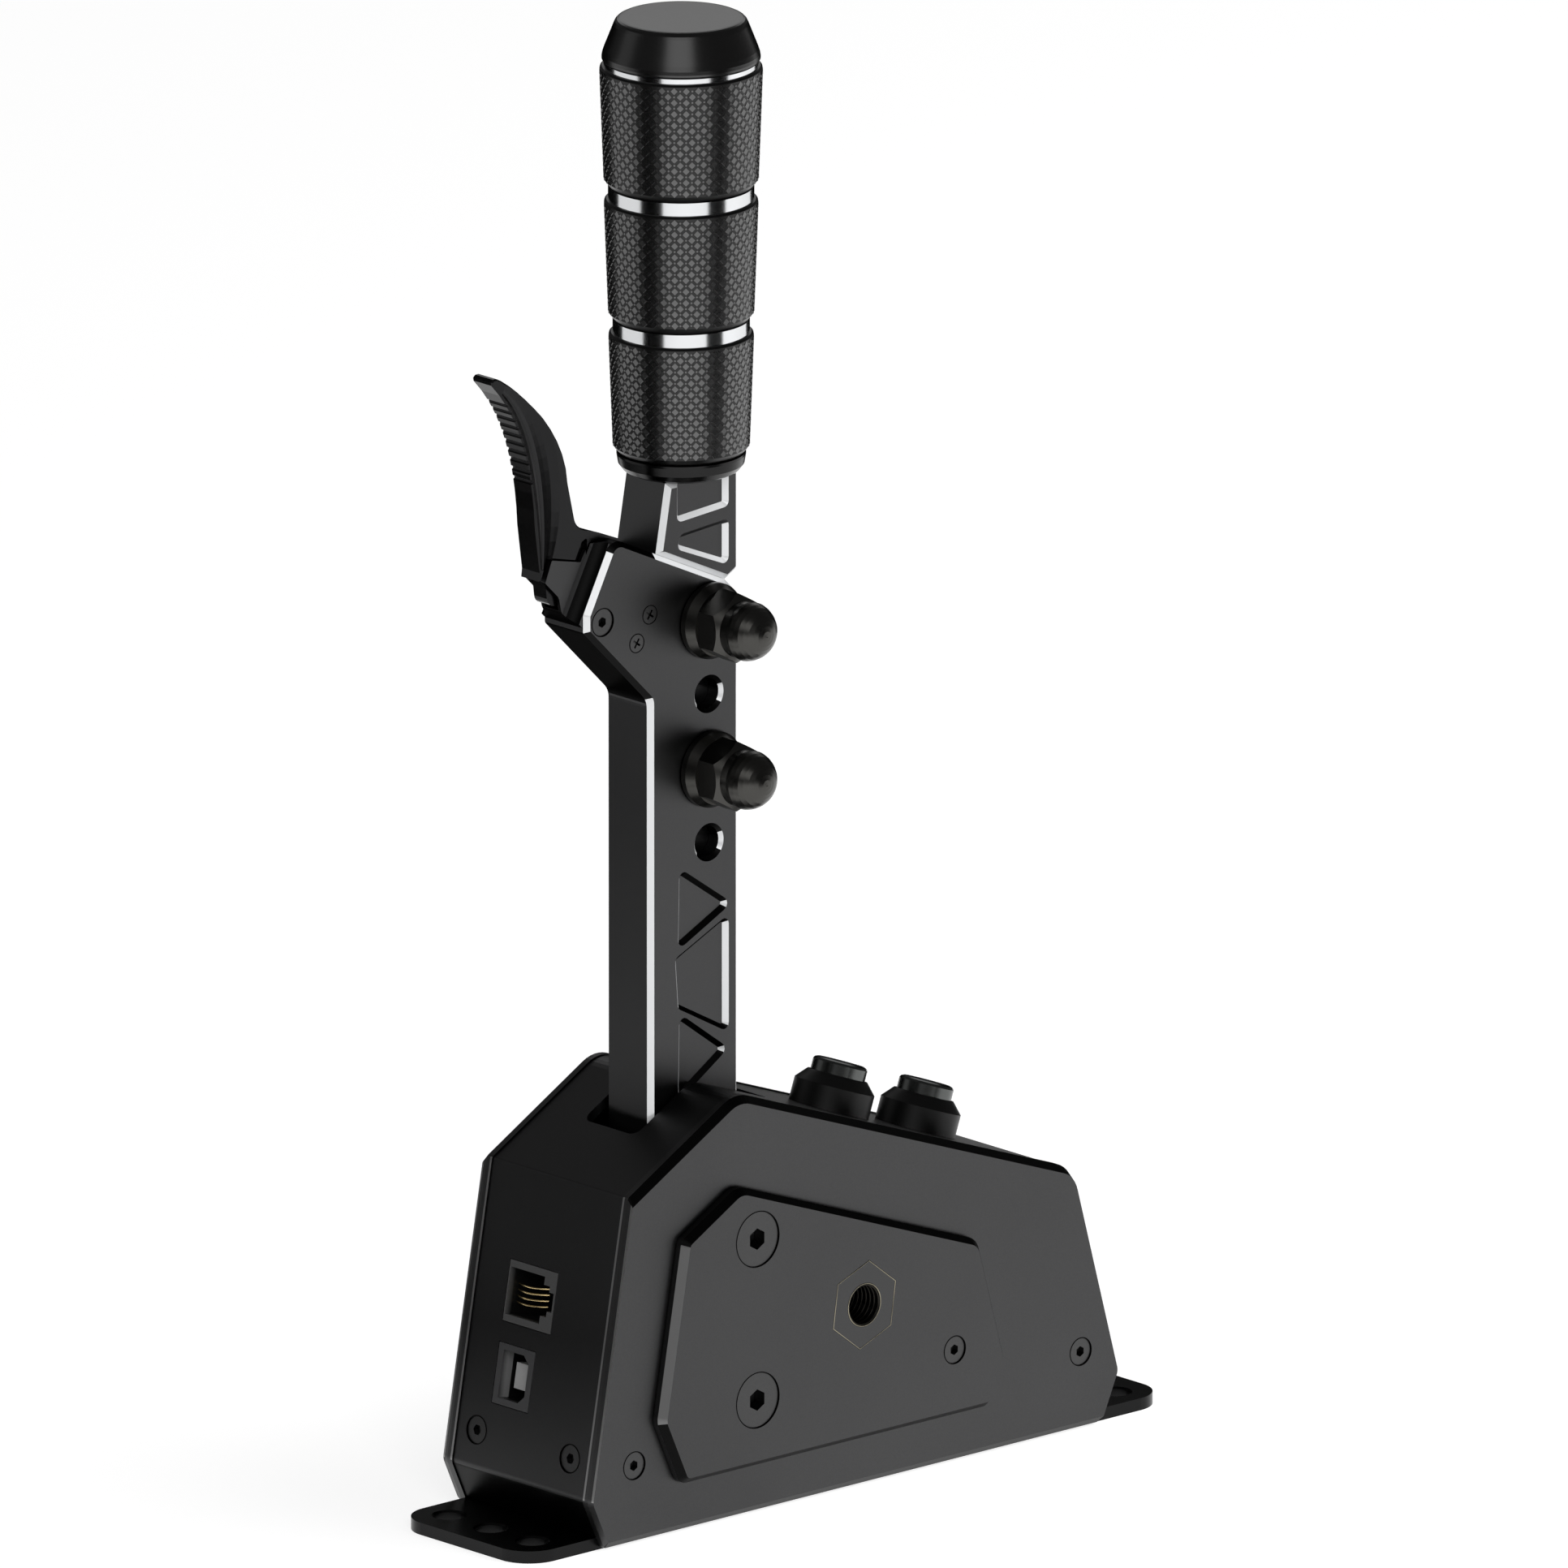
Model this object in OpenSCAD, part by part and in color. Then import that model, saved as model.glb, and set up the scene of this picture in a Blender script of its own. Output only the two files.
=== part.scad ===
// Sequential shifter for a driving simulator. Millimetres, +Z up, +X towards the push buttons.
// The origin is the centre of the base plate's underside.
// Side views are drawn in the XZ plane and extruded along Y, the near side being -Y.

/* [Base plate] */
// Length of the base plate
base_len = 178.5; // [165:0.5:220]
// Thickness of the base plate
base_t = 2.6; // [2:0.1:6]
// Corner radius of the base plate
base_corner = 7.5; // [2:0.5:15]
// Diameter of the six mounting holes
base_hole = 6.5; // [4.5:0.1:8.5]
// Distance of the mounting holes from the plate's ends
base_hole_end = 8.2; // [7:0.1:12]
// Distance between the two outer mounting holes at one end
base_hole_gap = 25.4; // [18:0.1:28]

/* [Housing] */
// Width between the two side plates, which is the width of the base plate too
inner_w = 40; // [36:1:60]
// Thickness of the side plates
plate_t = 3; // [2:0.5:5]
// Bevel along the top and bottom edges of the side plates
plate_bevel = 1.5; // [0.5:0.1:1.8]
// Bevel along the rear and front edges of the side plates
plate_edge = 0.3; // [0.2:0.1:1]
// Height of the side plates' lower edges over the ground
plate_lift = 0.5; // [0.3:0.1:1.5]
// Distance from the origin to the housing's rearmost point
rear_reach = 73.8; // [72:0.1:80]
// Distance from the origin to the housing's foremost point
front_reach = 72.9; // [70:0.1:80]
// Height of the knee where the ends start to lean in
knee_h = 11; // [8:0.5:14]
// Lean of the housing's ends below the knee
tuck_angle = 24; // [15:1:30]
// Lean of the rear face
rear_lean = 10.2; // [5:0.1:14]
// Lean of the front face
front_lean = 15.5; // [8:0.5:20]
// Slope of the top behind the crown
slant_angle = 29.6; // [22:0.2:34]
// Slope of the deck that carries the buttons
deck_angle = 20; // [15:0.5:24]
// Place of the crown along the housing
crown_x = -32.9; // [-36:0.1:-28]
// Height of the crown before it is rounded
crown_h = 90.75; // [86:0.25:100]
// Radius of the crown
crown_r = 8; // [3:0.5:14]
// Thickness of the bent cover
cover_t = 2; // [1.2:0.1:3]
// Step from the side plates' edges down to the cover
cover_step = 0.3; // [0.2:0.1:1]
// Thickness of the raised panel on the near side
panel_t = 3.1; // [1.8:0.1:4]
// Depth of the bevel round the raised panel
panel_drop = 1.6; // [0.5:0.1:1.7]
// Distance from the housing's rear edge to the panel
panel_rear = 13.8; // [10:0.1:16]
// Distance from the housing's slanting edge to the panel
panel_slant = 15.4; // [12:0.1:16]
// Distance from the deck's edge to the panel
panel_deck = 18.5; // [14:0.1:20]
// Distance from the housing's front edge to the panel
panel_front = 30; // [26:0.1:36]
// Distance from the housing's lower edge to the panel
panel_low = 10.8; // [8:0.1:12]
// Width of the bevel round the raised panel
panel_bevel = 1.3; // [0.5:0.1:1.5]
// Width of the slot that the lever comes out of
slot_w = 16; // [15:0.5:22]
// Rear end of the lever slot
slot_rear = -48.2; // [-52:0.1:-47.5]
// Front end of the lever slot
slot_front = -11; // [-13:0.5:-4]

/* [Lever] */
// Place of the lever's pivot along the housing
pivot_x = -30.7; // [-31.5:0.1:-30]
// Height of the lever's pivot
pivot_z = 25.6; // [25:0.1:27]
// Swing of the lever to each side
lever_swing = 4; // [2:0.5:4.5]
// Depth of the lever bar, along the housing
bar_d = 24.7; // [22:0.1:25]
// Distance from the pivot back to the rear face of the bar
bar_back = 12.3; // [11.8:0.1:12.9]
// Thickness of the lever bar
bar_t = 13.8; // [12:0.2:14]
// Bevel along the edges of the lever
bar_bevel = 1.06; // [0.5:0.02:1.5]
// Height of the parting line between bar and stem, at the rear face of the stem
seam_z = 203.6; // [200:0.2:215]
// Slope of the parting line between bar and stem
seam_angle = 25; // [15:1:30]
// Lean of the head's rear edge, where the trigger comes out
head_lean = 27.5; // [20:0.5:32]
// Reach of the head behind the bar
head_reach = 17.6; // [15:0.1:20]
// Diameter of the adjusting holes and clamp bolts
bolt_d = 6.4; // [5:0.2:7]
// Pitch of the adjusting holes
bolt_pitch = 15.8; // [14:0.1:17]
// Distance of the adjusting holes from the front face of the bar
bolt_inset = 8.5; // [7:0.1:10]
// Height of the upper clamp bolt
bolt_z = 187.3; // [184:0.1:188]
// Thickness of the stem's tongue, which slides in the bar
tongue_t = 6; // [4:0.5:7]
// Depth of the weight-saving pockets
pocket_d = 1; // [0.5:0.1:1.6]

/* [Trigger] */
// Thickness of the trigger blade
trigger_t = 6; // [5:0.5:7]
// Travel of the trigger towards the grip
trigger_travel = 4; // [2:0.5:4]
// Distance of the trigger's pivot behind the rear face of the bar
trigger_back = 13.1; // [12.6:0.1:13.4]
// Depth of the trigger's pivot under the parting line's rear end
trigger_drop = 11.4; // [10.8:0.1:11.8]
// Thickness of the trigger's root, which swings between the head's thin cheeks
root_t = 3.9; // [3:0.1:4.2]
// Number of ribs on the trigger's face
rib_count = 10; // [6:1:11]
// Radius of the grooves between the ribs
rib_r = 0.55; // [0.3:0.05:0.8]
// Depth of the hollow in each side of the trigger
flute_depth = 1.6; // [0.5:0.1:2]

/* [Grip] */
// Height of the underside of the grip
grip_z = 218.1; // [216:0.1:235]
// Total length of the grip
grip_len = 96; // [85:0.1:120]
// Radius of the grip at its lower end
grip_r0 = 14; // [12:0.1:18]
// Radius of the grip at its upper end
grip_r1 = 16.7; // [13:0.1:20]
// Height of the collar below the grip
collar_h = 4.1; // [3:0.1:8]
// Height of the cap on the grip
cap_h = 9; // [7:0.1:14]
// Height of the bright rings between the sleeves
ring_h = 2.8; // [2:0.1:5]
// Height of the bright ring below the cap
top_ring_h = 1.1; // [0.8:0.1:3]
// Step from the sleeves down to the bright rings
ring_step = 0.75; // [0.3:0.05:2]

/* [Buttons] */
// Diameter of the button bezels
bezel_d = 17; // [15:0.5:20]
// Height of the button bezels over the deck
bezel_h = 7.3; // [4:0.1:10]
// Diameter of the button caps
button_d = 11.6; // [9:0.1:12]
// Height of the caps over their bezels
button_proud = 2.9; // [2:0.1:5]
// Travel of the buttons
button_travel = 1.5; // [0.8:0.1:2]
// Place of the rear button along the housing
button_x = 12.7; // [12:0.1:14]
// Distance between the two buttons, along the deck
button_gap = 25.6; // [24:0.1:27]

/* [Connectors] */
// Height of the data socket
data_z = 48.4; // [46:0.1:52]
// Width of the data socket
data_w = 14.5; // [13:0.1:16]
// Height of the data socket's body along the rear face
data_h = 12.8; // [12:0.1:14]
// Height of the computer socket
usb_z = 31.4; // [30:0.1:33]
// Width of the computer socket
usb_w = 10.9; // [10:0.1:12]
// Height of the computer socket's body along the rear face
usb_h = 12.7; // [12:0.1:13]
// Place of the connector board across the housing
board_y = 10.85; // [9:0.05:12]

/* [Fits] */
// Radial play of a shaft in its bearing
run_gap = 0.05; // [0.02:0.01:0.09]
// Play round a screw or a fixed pin
screw_gap = 0.1; // [0.05:0.01:0.15]
// Radial play of a bearing in its seat
seat_gap = 0.03; // [0.01:0.01:0.05]
// Play on each side of a sliding or swinging piece
slide_gap = 0.15; // [0.1:0.05:0.3]
// Least distance between a moving piece and its stop
stop_gap = 0.3; // [0.2:0.05:0.5]

/* [Hidden] */

// Lines of the housing's side view, each a point and a direction, with the inside on the left
floor_line = [[0, plate_lift], 0];
front_tuck = [[front_reach, knee_h], 90 - tuck_angle];
front_line = [[front_reach, knee_h], 90 + front_lean];
deck_line = [[crown_x, crown_h], 180 - deck_angle];
slant_line = [[crown_x, crown_h], 180 + slant_angle];
rear_line = [[-rear_reach, knee_h], 270 - rear_lean];
rear_tuck = [[-rear_reach, knee_h], 270 + tuck_angle];

half_w = inner_w / 2;
near_y = half_w + plate_t;
panel_y = near_y + panel_t;
cover_in = cover_step + cover_t;

// Places of the screws on the sides, and the sizes of the screws
m6_r = 3;
m6_head = 5.8;
m4_r = 2;
m4_head = 4;
m3_r = 1.5;
m3_head = 2.85;
end_screw_z = 17.1;
rear_screw_x = rear_reach - 11.7;
front_screw_x = front_reach - 10.8;
base_screw_in = 1;
base_screw_y = half_w - 8;
cross_x = 24.1;
rear_screw_y = 14.25;
rear_screw_z = 18.7;
end_screw_len = cover_t + 4.5;
end_screw_hole = 12;
side_screw_len = 9;
pivot_screw_len = 10;
rim = 0.25;
sink = 0.2;

// Lever, axle and stop
bar_rear = pivot_x - bar_back;
bar_front = bar_rear + bar_d;
half_bar = bar_t / 2;
axle_r = 4;
bearing_r = 8;
bearing_w = 5;
stop_rise = 34.4;
stop_r = 4.5;
bumper_r = 6;
spring_rise = 14.6;
spring_r = 3.2;
spring_wire = 0.6;
spring_seat_r = 4.3;
spring_seat_d = 5;
bar_foot = pivot_z - spring_rise - spring_r - 1.4;
block_rear = -7;
block_front = 9;
block_top = 47;
block_h = 19;
rear_block_in = bar_rear - 7.6;
front_block_in = front_reach - 18.3;
insert_x = -1.1;
insert_z = 40.2;
insert_af = 16.2;
insert_r = 6.5;
insert_len = 12;
insert_turn = 82;
thread_r = 4.25;

// Head of the lever and trigger: points named from the trigger's pivot
trigger_pivot = [bar_rear - trigger_back, seam_z - trigger_drop];
head_edge = bar_rear - head_reach;
head_wall = 4.4;
head_sum = trigger_pivot.x + trigger_pivot.y - head_wall * sqrt(2);
head_lean_line = [trigger_pivot + [-1, 8.8], 270 - head_lean];
hub_r = 3;
slot_wall = 11.5;
cheek_notch = [[-0.5, 16], [-2.6, 12.5]];
spring_back = 6.4;
spring_up = 12;
cheek_y = trigger_t / 2;
fillet_r = half_bar - cheek_y;
stem_rear = bar_rear + 2.4;
seam_line = [[stem_rear, seam_z], 180 - seam_angle];
stem_lean = 10.2;
seam_gap = 0.05;
nose = 3.2;
bolt_x = bar_front - bolt_inset;
washer_t = 3.6;
mortise_rear = bar_rear + 6.5;
mortise_front = bar_front - 2.2;
mortise_foot = bolt_z - 3.7 * bolt_pitch;

// Microswitch in the head: its middle from the trigger's pivot, its turn and its body
switch_at = [11.2, -3.5];
switch_turn = 56.3;
switch_len = 12.8;
switch_low = -1.5;
switch_top = 5;
switch_w = 5.8;
switch_hole_gap = 6.5;
m2_r = 1;
m2_head = 1.85;

// Grip
grip_x = (stem_rear + (grip_z - seam_z) * tan(stem_lean) + bar_front) / 2;
sleeve_z0 = grip_z + collar_h;
cap_z = grip_z + grip_len - cap_h;
sleeve_h = (cap_z - sleeve_z0 - 2 * ring_h - top_ring_h) / 3;
core_r = 9;
stud_r = 6;
stud_len = 26;

// Boards and sockets: the data socket ends at a distance from the swinging lever
board_t = 1.6;
board_low = 14.5;
board_high = 15.5;
board_lift = 6;
board_gap = 4.6;
board_screw_in = 3;
board_rear = block_front + board_gap + 0.4;
board_front = front_block_in - board_gap;
board_half = half_w - 4;
lever_gap = 3.88;
data_depth = (bar_rear - (data_z - pivot_z) * sin(lever_swing) - lever_gap - rear_x(data_z, cover_step))
    * cos(rear_lean);
board_depth = data_depth - 1;
usb_depth = data_depth - 2;

// Buttons
bezel_r = bezel_d / 2;
button_r = button_d / 2;
barrel_r = bezel_r - 0.6;
nut_af = 20;
nut_h = 2.5;
barrel_len = 18;
bezel_floor = 6.5 + button_travel;
button_run = button_gap * cos(deck_angle);

function unit(v) = v / norm(v);
function shifted(l, d) = [l[0] + d * [-sin(l[1]), cos(l[1])], l[1]];
function meet(l, m) =
    let (u = [cos(l[1]), sin(l[1])], v = [cos(m[1]), sin(m[1])], w = m[0] - l[0])
    l[0] + (w.x * v.y - w.y * v.x) / (u.x * v.y - u.y * v.x) * u;

// Points of the arc of radius r that rounds the corner b between a and c
function arc_at(a, b, c, r, steps) =
    let (
        u = unit(a - b), w = unit(c - b), half = acos(max(-1, min(1, u * w))) / 2,
        mid = b + unit(u + w) * r / sin(half),
        p = b + u * r / tan(half) - mid, q = b + w * r / tan(half) - mid,
        from = atan2(p.y, p.x), turn = (atan2(q.y, q.x) - from + 540) % 360 - 180
    )
    [for (i = [0:steps]) mid + r * [cos(from + turn * i / steps), sin(from + turn * i / steps)]];

// Closed outline through corners [x, z, radius]
function rounded(corners, steps = 6) =
    let (n = len(corners))
    [for (i = [0:n - 1])
        let (a = corners[(i + n - 1) % n], b = corners[i], c = corners[(i + 1) % n])
        each len(b) > 2 && b[2] > 0
            ? arc_at([a.x, a.y], [b.x, b.y], [c.x, c.y], b[2], steps)
            : [[b.x, b.y]]];

function turn_of(p) = sign([for (i = [0:len(p) - 1])
    let (a = p[i], b = p[(i + 1) % len(p)]) a.x * b.y - b.x * a.y] * [for (q = p) 1]);
function outward(a, b, s) = let (d = unit([b.x - a.x, b.y - a.y])) s * [d.y, -d.x];

// Corners [x, z, radius] moved inwards: by flat on level edges and by steep on upright ones
function inset(p, flat, steep) =
    let (n = len(p), s = turn_of(p))
    [for (i = [0:n - 1])
        let (
            n1 = outward(p[(i + n - 1) % n], p[i], s), n2 = outward(p[i], p[(i + 1) % n], s),
            d1 = edge_width(n1, flat, steep), d2 = edge_width(n2, flat, steep),
            det = n1.x * n2.y - n1.y * n2.x,
            by = abs(det) < 0.02
                ? -d1 * n1
                : [d2 * n1.y - d1 * n2.y, d1 * n2.x - d2 * n1.x] / det,
            r = len(p[i]) > 2 ? p[i][2] : 0
        )
        [p[i].x + by.x, p[i].y + by.y, r > 0 ? max(0.15, r - (d1 + d2) / 2) : 0]];
function edge_width(n, flat, steep) =
    let (t = max(0, min(1, (abs(n.y) - 0.45) / 0.35))) steep + (flat - steep) * t;

function bezier(a, b, c, d, steps) = [for (i = [0:steps]) let (t = i / steps, u = 1 - t)
    u * u * u * a + 3 * u * u * t * b + 3 * u * t * t * c + t * t * t * d];
function reversed(p) = [for (i = [len(p) - 1:-1:0]) p[i]];
function moved(p, by) = [for (q = p) len(q) > 2 ? [q.x + by.x, q.y + by.y, q[2]] : q + by];

// Corners of the housing's side view, moved inwards by d
function housing_corners(d, low = 0) =
    let (
        lines = [shifted(floor_line, low), shifted(front_tuck, d), shifted(front_line, d),
            shifted(deck_line, d), shifted(slant_line, d), shifted(rear_line, d), shifted(rear_tuck, d)],
        radii = [0.6, 3, 7, crown_r, 1, 3, 0.6]
    )
    [for (i = [0:6])
        let (c = meet(lines[i], lines[(i + 1) % 7]))
        [c.x, c.y, max(0.2, radii[i] - max(d, 0))]];
function housing(d, low = 0) = rounded(housing_corners(d, low));

function rear_x(z, d) = -rear_reach + (z - knee_h) * tan(rear_lean) + d / cos(rear_lean);
function front_x(z, d) = front_reach - (z - knee_h) * tan(front_lean) - d / cos(front_lean);
function deck_z(x, d) = crown_h - (x - crown_x) * tan(deck_angle) - d / cos(deck_angle);
function grip_r(z) = grip_r0 + (grip_r1 - grip_r0) * (z - sleeve_z0) / (cap_z - sleeve_z0);

// Side view extruded across the part, from y0 to y1
module slab(y0, y1) {
    translate([0, y1, 0]) rotate([90, 0, 0]) linear_extrude(y1 - y0) children();
}

// Triangles that fill the outline p, by cutting one free corner after another
function side_of(a, b, q) = (b.x - a.x) * (q.y - a.y) - (b.y - a.y) * (q.x - a.x);
function is_free(p, v, i) =
    let (n = len(v), a = p[v[(i + n - 1) % n]], b = p[v[i]], c = p[v[(i + 1) % n]])
    side_of(a, b, c) > 0.000001 && len([for (k = v)
        let (q = p[k])
        if (q != a && q != b && q != c && side_of(a, b, q) >= 0 && side_of(b, c, q) >= 0
            && side_of(c, a, q) >= 0) 1]) == 0;
function free_corner(p, v, i = 0) = i >= len(v) ? 0 : is_free(p, v, i) ? i : free_corner(p, v, i + 1);
function filled(p, v) =
    let (n = len(v))
    n < 4 ? [v] :
    let (i = free_corner(p, v))
    concat([[v[(i + n - 1) % n], v[i], v[(i + 1) % n]]], filled(p, [for (k = [0:n - 1]) if (k != i) v[k]]));

// Solid through a list of [outline, y] with the same number of points in each outline
module stack(given) {
    rings = turn_of(given[0][0]) > 0 ? given : [for (r = given) [reversed(r[0]), r[1]]];
    n = len(rings[0][0]);
    m = len(rings);
    order = [for (i = [0:n - 1]) i];
    points = [for (r = rings, p = r[0]) [p.x, r[1], p.y]];
    faces = concat(
        [for (k = [0:m - 2], i = [0:n - 1])
            let (j = (i + 1) % n, a = k * n, b = a + n)
            each [[a + i, a + j, b + j], [a + i, b + j, b + i]]],
        [for (t = filled(rings[0][0], order)) reversed(t)],
        [for (t = filled(rings[m - 1][0], order)) t + (m - 1) * n * [1, 1, 1]]
    );
    polyhedron(points, faces);
}

// Plate with the same bevel on both faces
module bevelled(corners, half, bevel) {
    outline = rounded(corners);
    inner = rounded(inset(corners, bevel, bevel));
    stack([[inner, -half], [outline, bevel - half], [outline, half - bevel], [inner, half]]);
}

// Revolved profile [radius, height]
module turned(profile, fn = 48) {
    rotate_extrude($fn = fn) polygon(profile);
}

module rod(r, h, fn = 32) {
    cylinder(r = r, h = h, $fn = fn);
}

// Places on the two sides: local +Z points out of the part
module near_at(p, y) {
    translate([p.x, -y, p.y]) rotate([90, 0, 0]) children();
}
module far_at(p, y) {
    translate([p.x, y, p.y]) rotate([-90, 0, 0]) children();
}

// Places on the deck and on the end faces: local +Z points out of the part
module on_deck(x, d = cover_step) {
    translate([x, 0, deck_z(x, d)]) rotate([0, deck_angle, 0]) children();
}
module on_rear(z, y = 0, d = cover_step) {
    translate([rear_x(z, d), y, z]) rotate([0, rear_lean - 90, 0]) children();
}
module on_front(z, y = 0, d = cover_step) {
    translate([front_x(z, d), y, z]) rotate([0, 90 - front_lean, 0]) children();
}

// Countersunk screw below z = 0, and the hole for one
module sunk_screw(r, head, len, af) {
    difference() {
        turned([[0, -sink], [head, -sink], [head, -sink - rim], [r, -sink - rim - head + r],
            [r, -len], [0, -len]], 32);
        translate([0, 0, -head * 0.55]) rotate(30) cylinder(r = af / 2 / cos(30), h = head, $fn = 6);
    }
}
module sunk_hole(r, head, len, gap = screw_gap) {
    turned([[0, 1], [head + gap, 1], [head + gap, -sink - rim], [r + gap, -sink - rim - head + r],
        [r + gap, -len - gap], [0, -len - gap]], 32);
}

// Helical spring of round wire along +Z
module coil(r, wire, len, turns, sides = 6, per_turn = 10) {
    steps = turns * per_turn;
    lift = (len - 2 * wire) / steps;
    rings = [for (i = [0:steps]) let (a = 360 * i / per_turn) [for (k = [0:sides - 1])
        let (q = r + wire * cos(360 * k / sides))
        [q * cos(a), q * sin(a), wire + i * lift + wire * sin(360 * k / sides)]]];
    faces = concat(
        [for (i = [0:steps - 1], k = [0:sides - 1])
            let (j = (k + 1) % sides, a = i * sides, b = a + sides)
            each [[a + k, b + k, b + j], [a + k, b + j, a + j]]],
        [[for (k = [0:sides - 1]) k], [for (k = [0:sides - 1]) steps * sides + sides - 1 - k]]
    );
    polyhedron([for (r = rings) each r], faces);
}

module base_holes() {
    for (x = [-1, 1], y = [-1, 0, 1])
        translate([x * (base_len / 2 - base_hole_end), y * base_hole_gap / 2, 0]) children();
}
module base_screw_places() {
    for (x = [base_screw_in - rear_screw_x, insert_x, front_screw_x - base_screw_in], y = [-1, 1])
        translate([x, y * base_screw_y, 0]) children();
}

module base_plate() {
    x = base_len / 2 - base_corner;
    y = half_w - base_corner;
    color("#242424") difference() {
        union() {
            translate([-base_len / 2, -y, 0]) cube([base_len, 2 * y, base_t]);
            translate([-x, -half_w, 0]) cube([2 * x, inner_w, base_t]);
            for (i = [-1, 1], j = [-1, 1]) translate([i * x, j * y, 0]) rod(base_corner, base_t, 48);
        }
        base_holes() translate([0, 0, -1]) rod(base_hole / 2, base_t + 2);
        base_holes() translate([0, 0, base_t])
            turned([[0, 1], [base_hole / 2 + 1.4, 1], [base_hole / 2 - 0.1, -0.5], [0, -0.5]], 32);
        base_screw_places() mirror([0, 0, 1]) sunk_hole(m4_r, m4_head, base_t + 1);
    }
}

module side_plate() {
    corners = housing_corners(0);
    outline = rounded(corners);
    difference() {
        stack([[rounded(inset(corners, plate_bevel, plate_edge)), -near_y],
            [outline, plate_bevel - near_y], [outline, -half_w]]);
        for (x = [-rear_screw_x, front_screw_x])
            near_at([x, end_screw_z], near_y) sunk_hole(m3_r, m3_head, plate_t + 1);
        near_at([insert_x, insert_z], near_y + 1) translate([0, 0, -plate_t - 2])
            rotate(insert_turn) cylinder(r = insert_af / 2 / cos(30) + screw_gap, h = plate_t + 4, $fn = 6);
    }
}

// Screw holes of the side at the height of the given face
module side_holes(face) {
    for (p = [[pivot_x, pivot_z], [pivot_x, pivot_z + stop_rise]])
        near_at(p, face) sunk_hole(m6_r, m6_head, face - half_w + 1);
    near_at([cross_x, pivot_z], face) sunk_hole(m3_r, m3_head, face - half_w + 1);
}

module side_plate_near() {
    color("#4b4b4b") difference() {
        side_plate();
        side_holes(panel_y);
    }
}
module side_plate_far() {
    color("#4b4b4b") mirror([0, 1, 0]) difference() {
        side_plate();
        side_holes(near_y);
    }
}

// Raised panel with bevelled edges, each parallel to an edge of the housing
module side_panel() {
    rear = shifted(rear_line, panel_rear);
    front = shifted(front_line, panel_front);
    rear_low = [meet(rear, [[0, knee_h + 14.5], 0]), 270 + tuck_angle];
    front_low = [meet(front, [[0, knee_h + 10], 0]), 90 - tuck_angle];
    lines = [shifted(floor_line, panel_low), front_low, front, shifted(deck_line, panel_deck),
        shifted(slant_line, panel_slant), rear, rear_low];
    radii = [2, 3, 4.5, 5, 2.5, 4, 2.5];
    corners = [for (i = [0:6])
        let (c = meet(lines[i], lines[(i + 1) % 7])) [c.x, c.y, radii[i]]];
    outline = rounded(corners);
    color("#4d4d4d") difference() {
        stack([[rounded(inset(corners, panel_bevel, panel_bevel)), -panel_y],
            [outline, panel_drop - panel_y], [outline, -near_y]]);
        side_holes(panel_y);
        near_at([insert_x, insert_z], panel_y) translate([0, 0, -panel_t - 1])
            rotate(insert_turn) cylinder(r = insert_af / 2 / cos(30) + screw_gap, h = panel_t + 2, $fn = 6);
    }
}

// Bent sheet over the ends and the top, between the side plates
module cover() {
    color("#2b2b2b") difference() {
        slab(-half_w, half_w) polygon(housing(cover_step));
        slab(-half_w - 1, half_w + 1) polygon(housing(cover_in, -base_t));
        translate([-rear_reach - 5, -half_w - 1, -1]) cube([2 * rear_reach + 10, inner_w + 2, base_t + 1]);
        translate([slot_rear, -slot_w / 2, crown_h - 30]) lever_slot(slot_front - slot_rear, slot_w, 40);
        for (i = [0, 1]) on_deck(button_x + i * button_run)
            translate([0, 0, -cover_t - 2]) rod(barrel_r + screw_gap, cover_t + 4, 48);
        for (y = [-1, 1]) {
            on_rear(rear_screw_z, y * rear_screw_y) sunk_hole(m3_r, m3_head, cover_t + 1);
            on_front(rear_screw_z, y * rear_screw_y) sunk_hole(m3_r, m3_head, cover_t + 1);
        }
        on_rear(data_z, board_y - data_w / 2) socket_cut(data_w, data_h);
        on_rear(usb_z, board_y - usb_w / 2) socket_cut(usb_w, usb_h);
    }
}
module lever_slot(l, w, h) {
    r = 2;
    translate([r, 0, 0]) cube([l - 2 * r, w, h]);
    translate([0, r, 0]) cube([l, w - 2 * r, h]);
    for (x = [r, l - r], y = [r, w - r]) translate([x, y, 0]) rod(r, h, 24);
}
// Opening for a socket: on the rear face local X runs down the face and local Y across
module socket_cut(w, h) {
    translate([-h / 2 - slide_gap, -w / 2 - slide_gap, -cover_t - 2])
        cube([h + 2 * slide_gap, w + 2 * slide_gap, cover_t + 4]);
}

// Blocks between the side plates: the end blocks carry the cover, the middle one the springs
module end_block(x0, x1) {
    difference() {
        intersection() {
            slab(-half_w, half_w) polygon(housing(cover_in, -base_t));
            translate([x0, -half_w, base_t]) cube([x1 - x0, inner_w, block_h]);
        }
        for (x = [-rear_screw_x, front_screw_x], s = [0, 1]) mirror([0, s, 0])
            near_at([x, end_screw_z], half_w) rotate([180, 0, 0])
                rod(m3_r + screw_gap, end_screw_hole, 24);
        for (s = [-1, 1]) {
            on_rear(rear_screw_z, s * rear_screw_y) translate([0, 0, -end_screw_len - 0.5])
                rod(m3_r + screw_gap, end_screw_hole, 24);
            on_front(rear_screw_z, s * rear_screw_y) translate([0, 0, -end_screw_len - 0.5])
                rod(m3_r + screw_gap, end_screw_hole, 24);
        }
        base_screw_places() translate([0, 0, -1]) rod(m4_r + screw_gap, base_t + 9, 24);
    }
}
module rear_block() {
    color("#6f7174") end_block(-rear_reach - 5, rear_block_in);
}
module front_block() {
    color("#6f7174") end_block(front_block_in, front_reach + 5);
}

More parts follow.
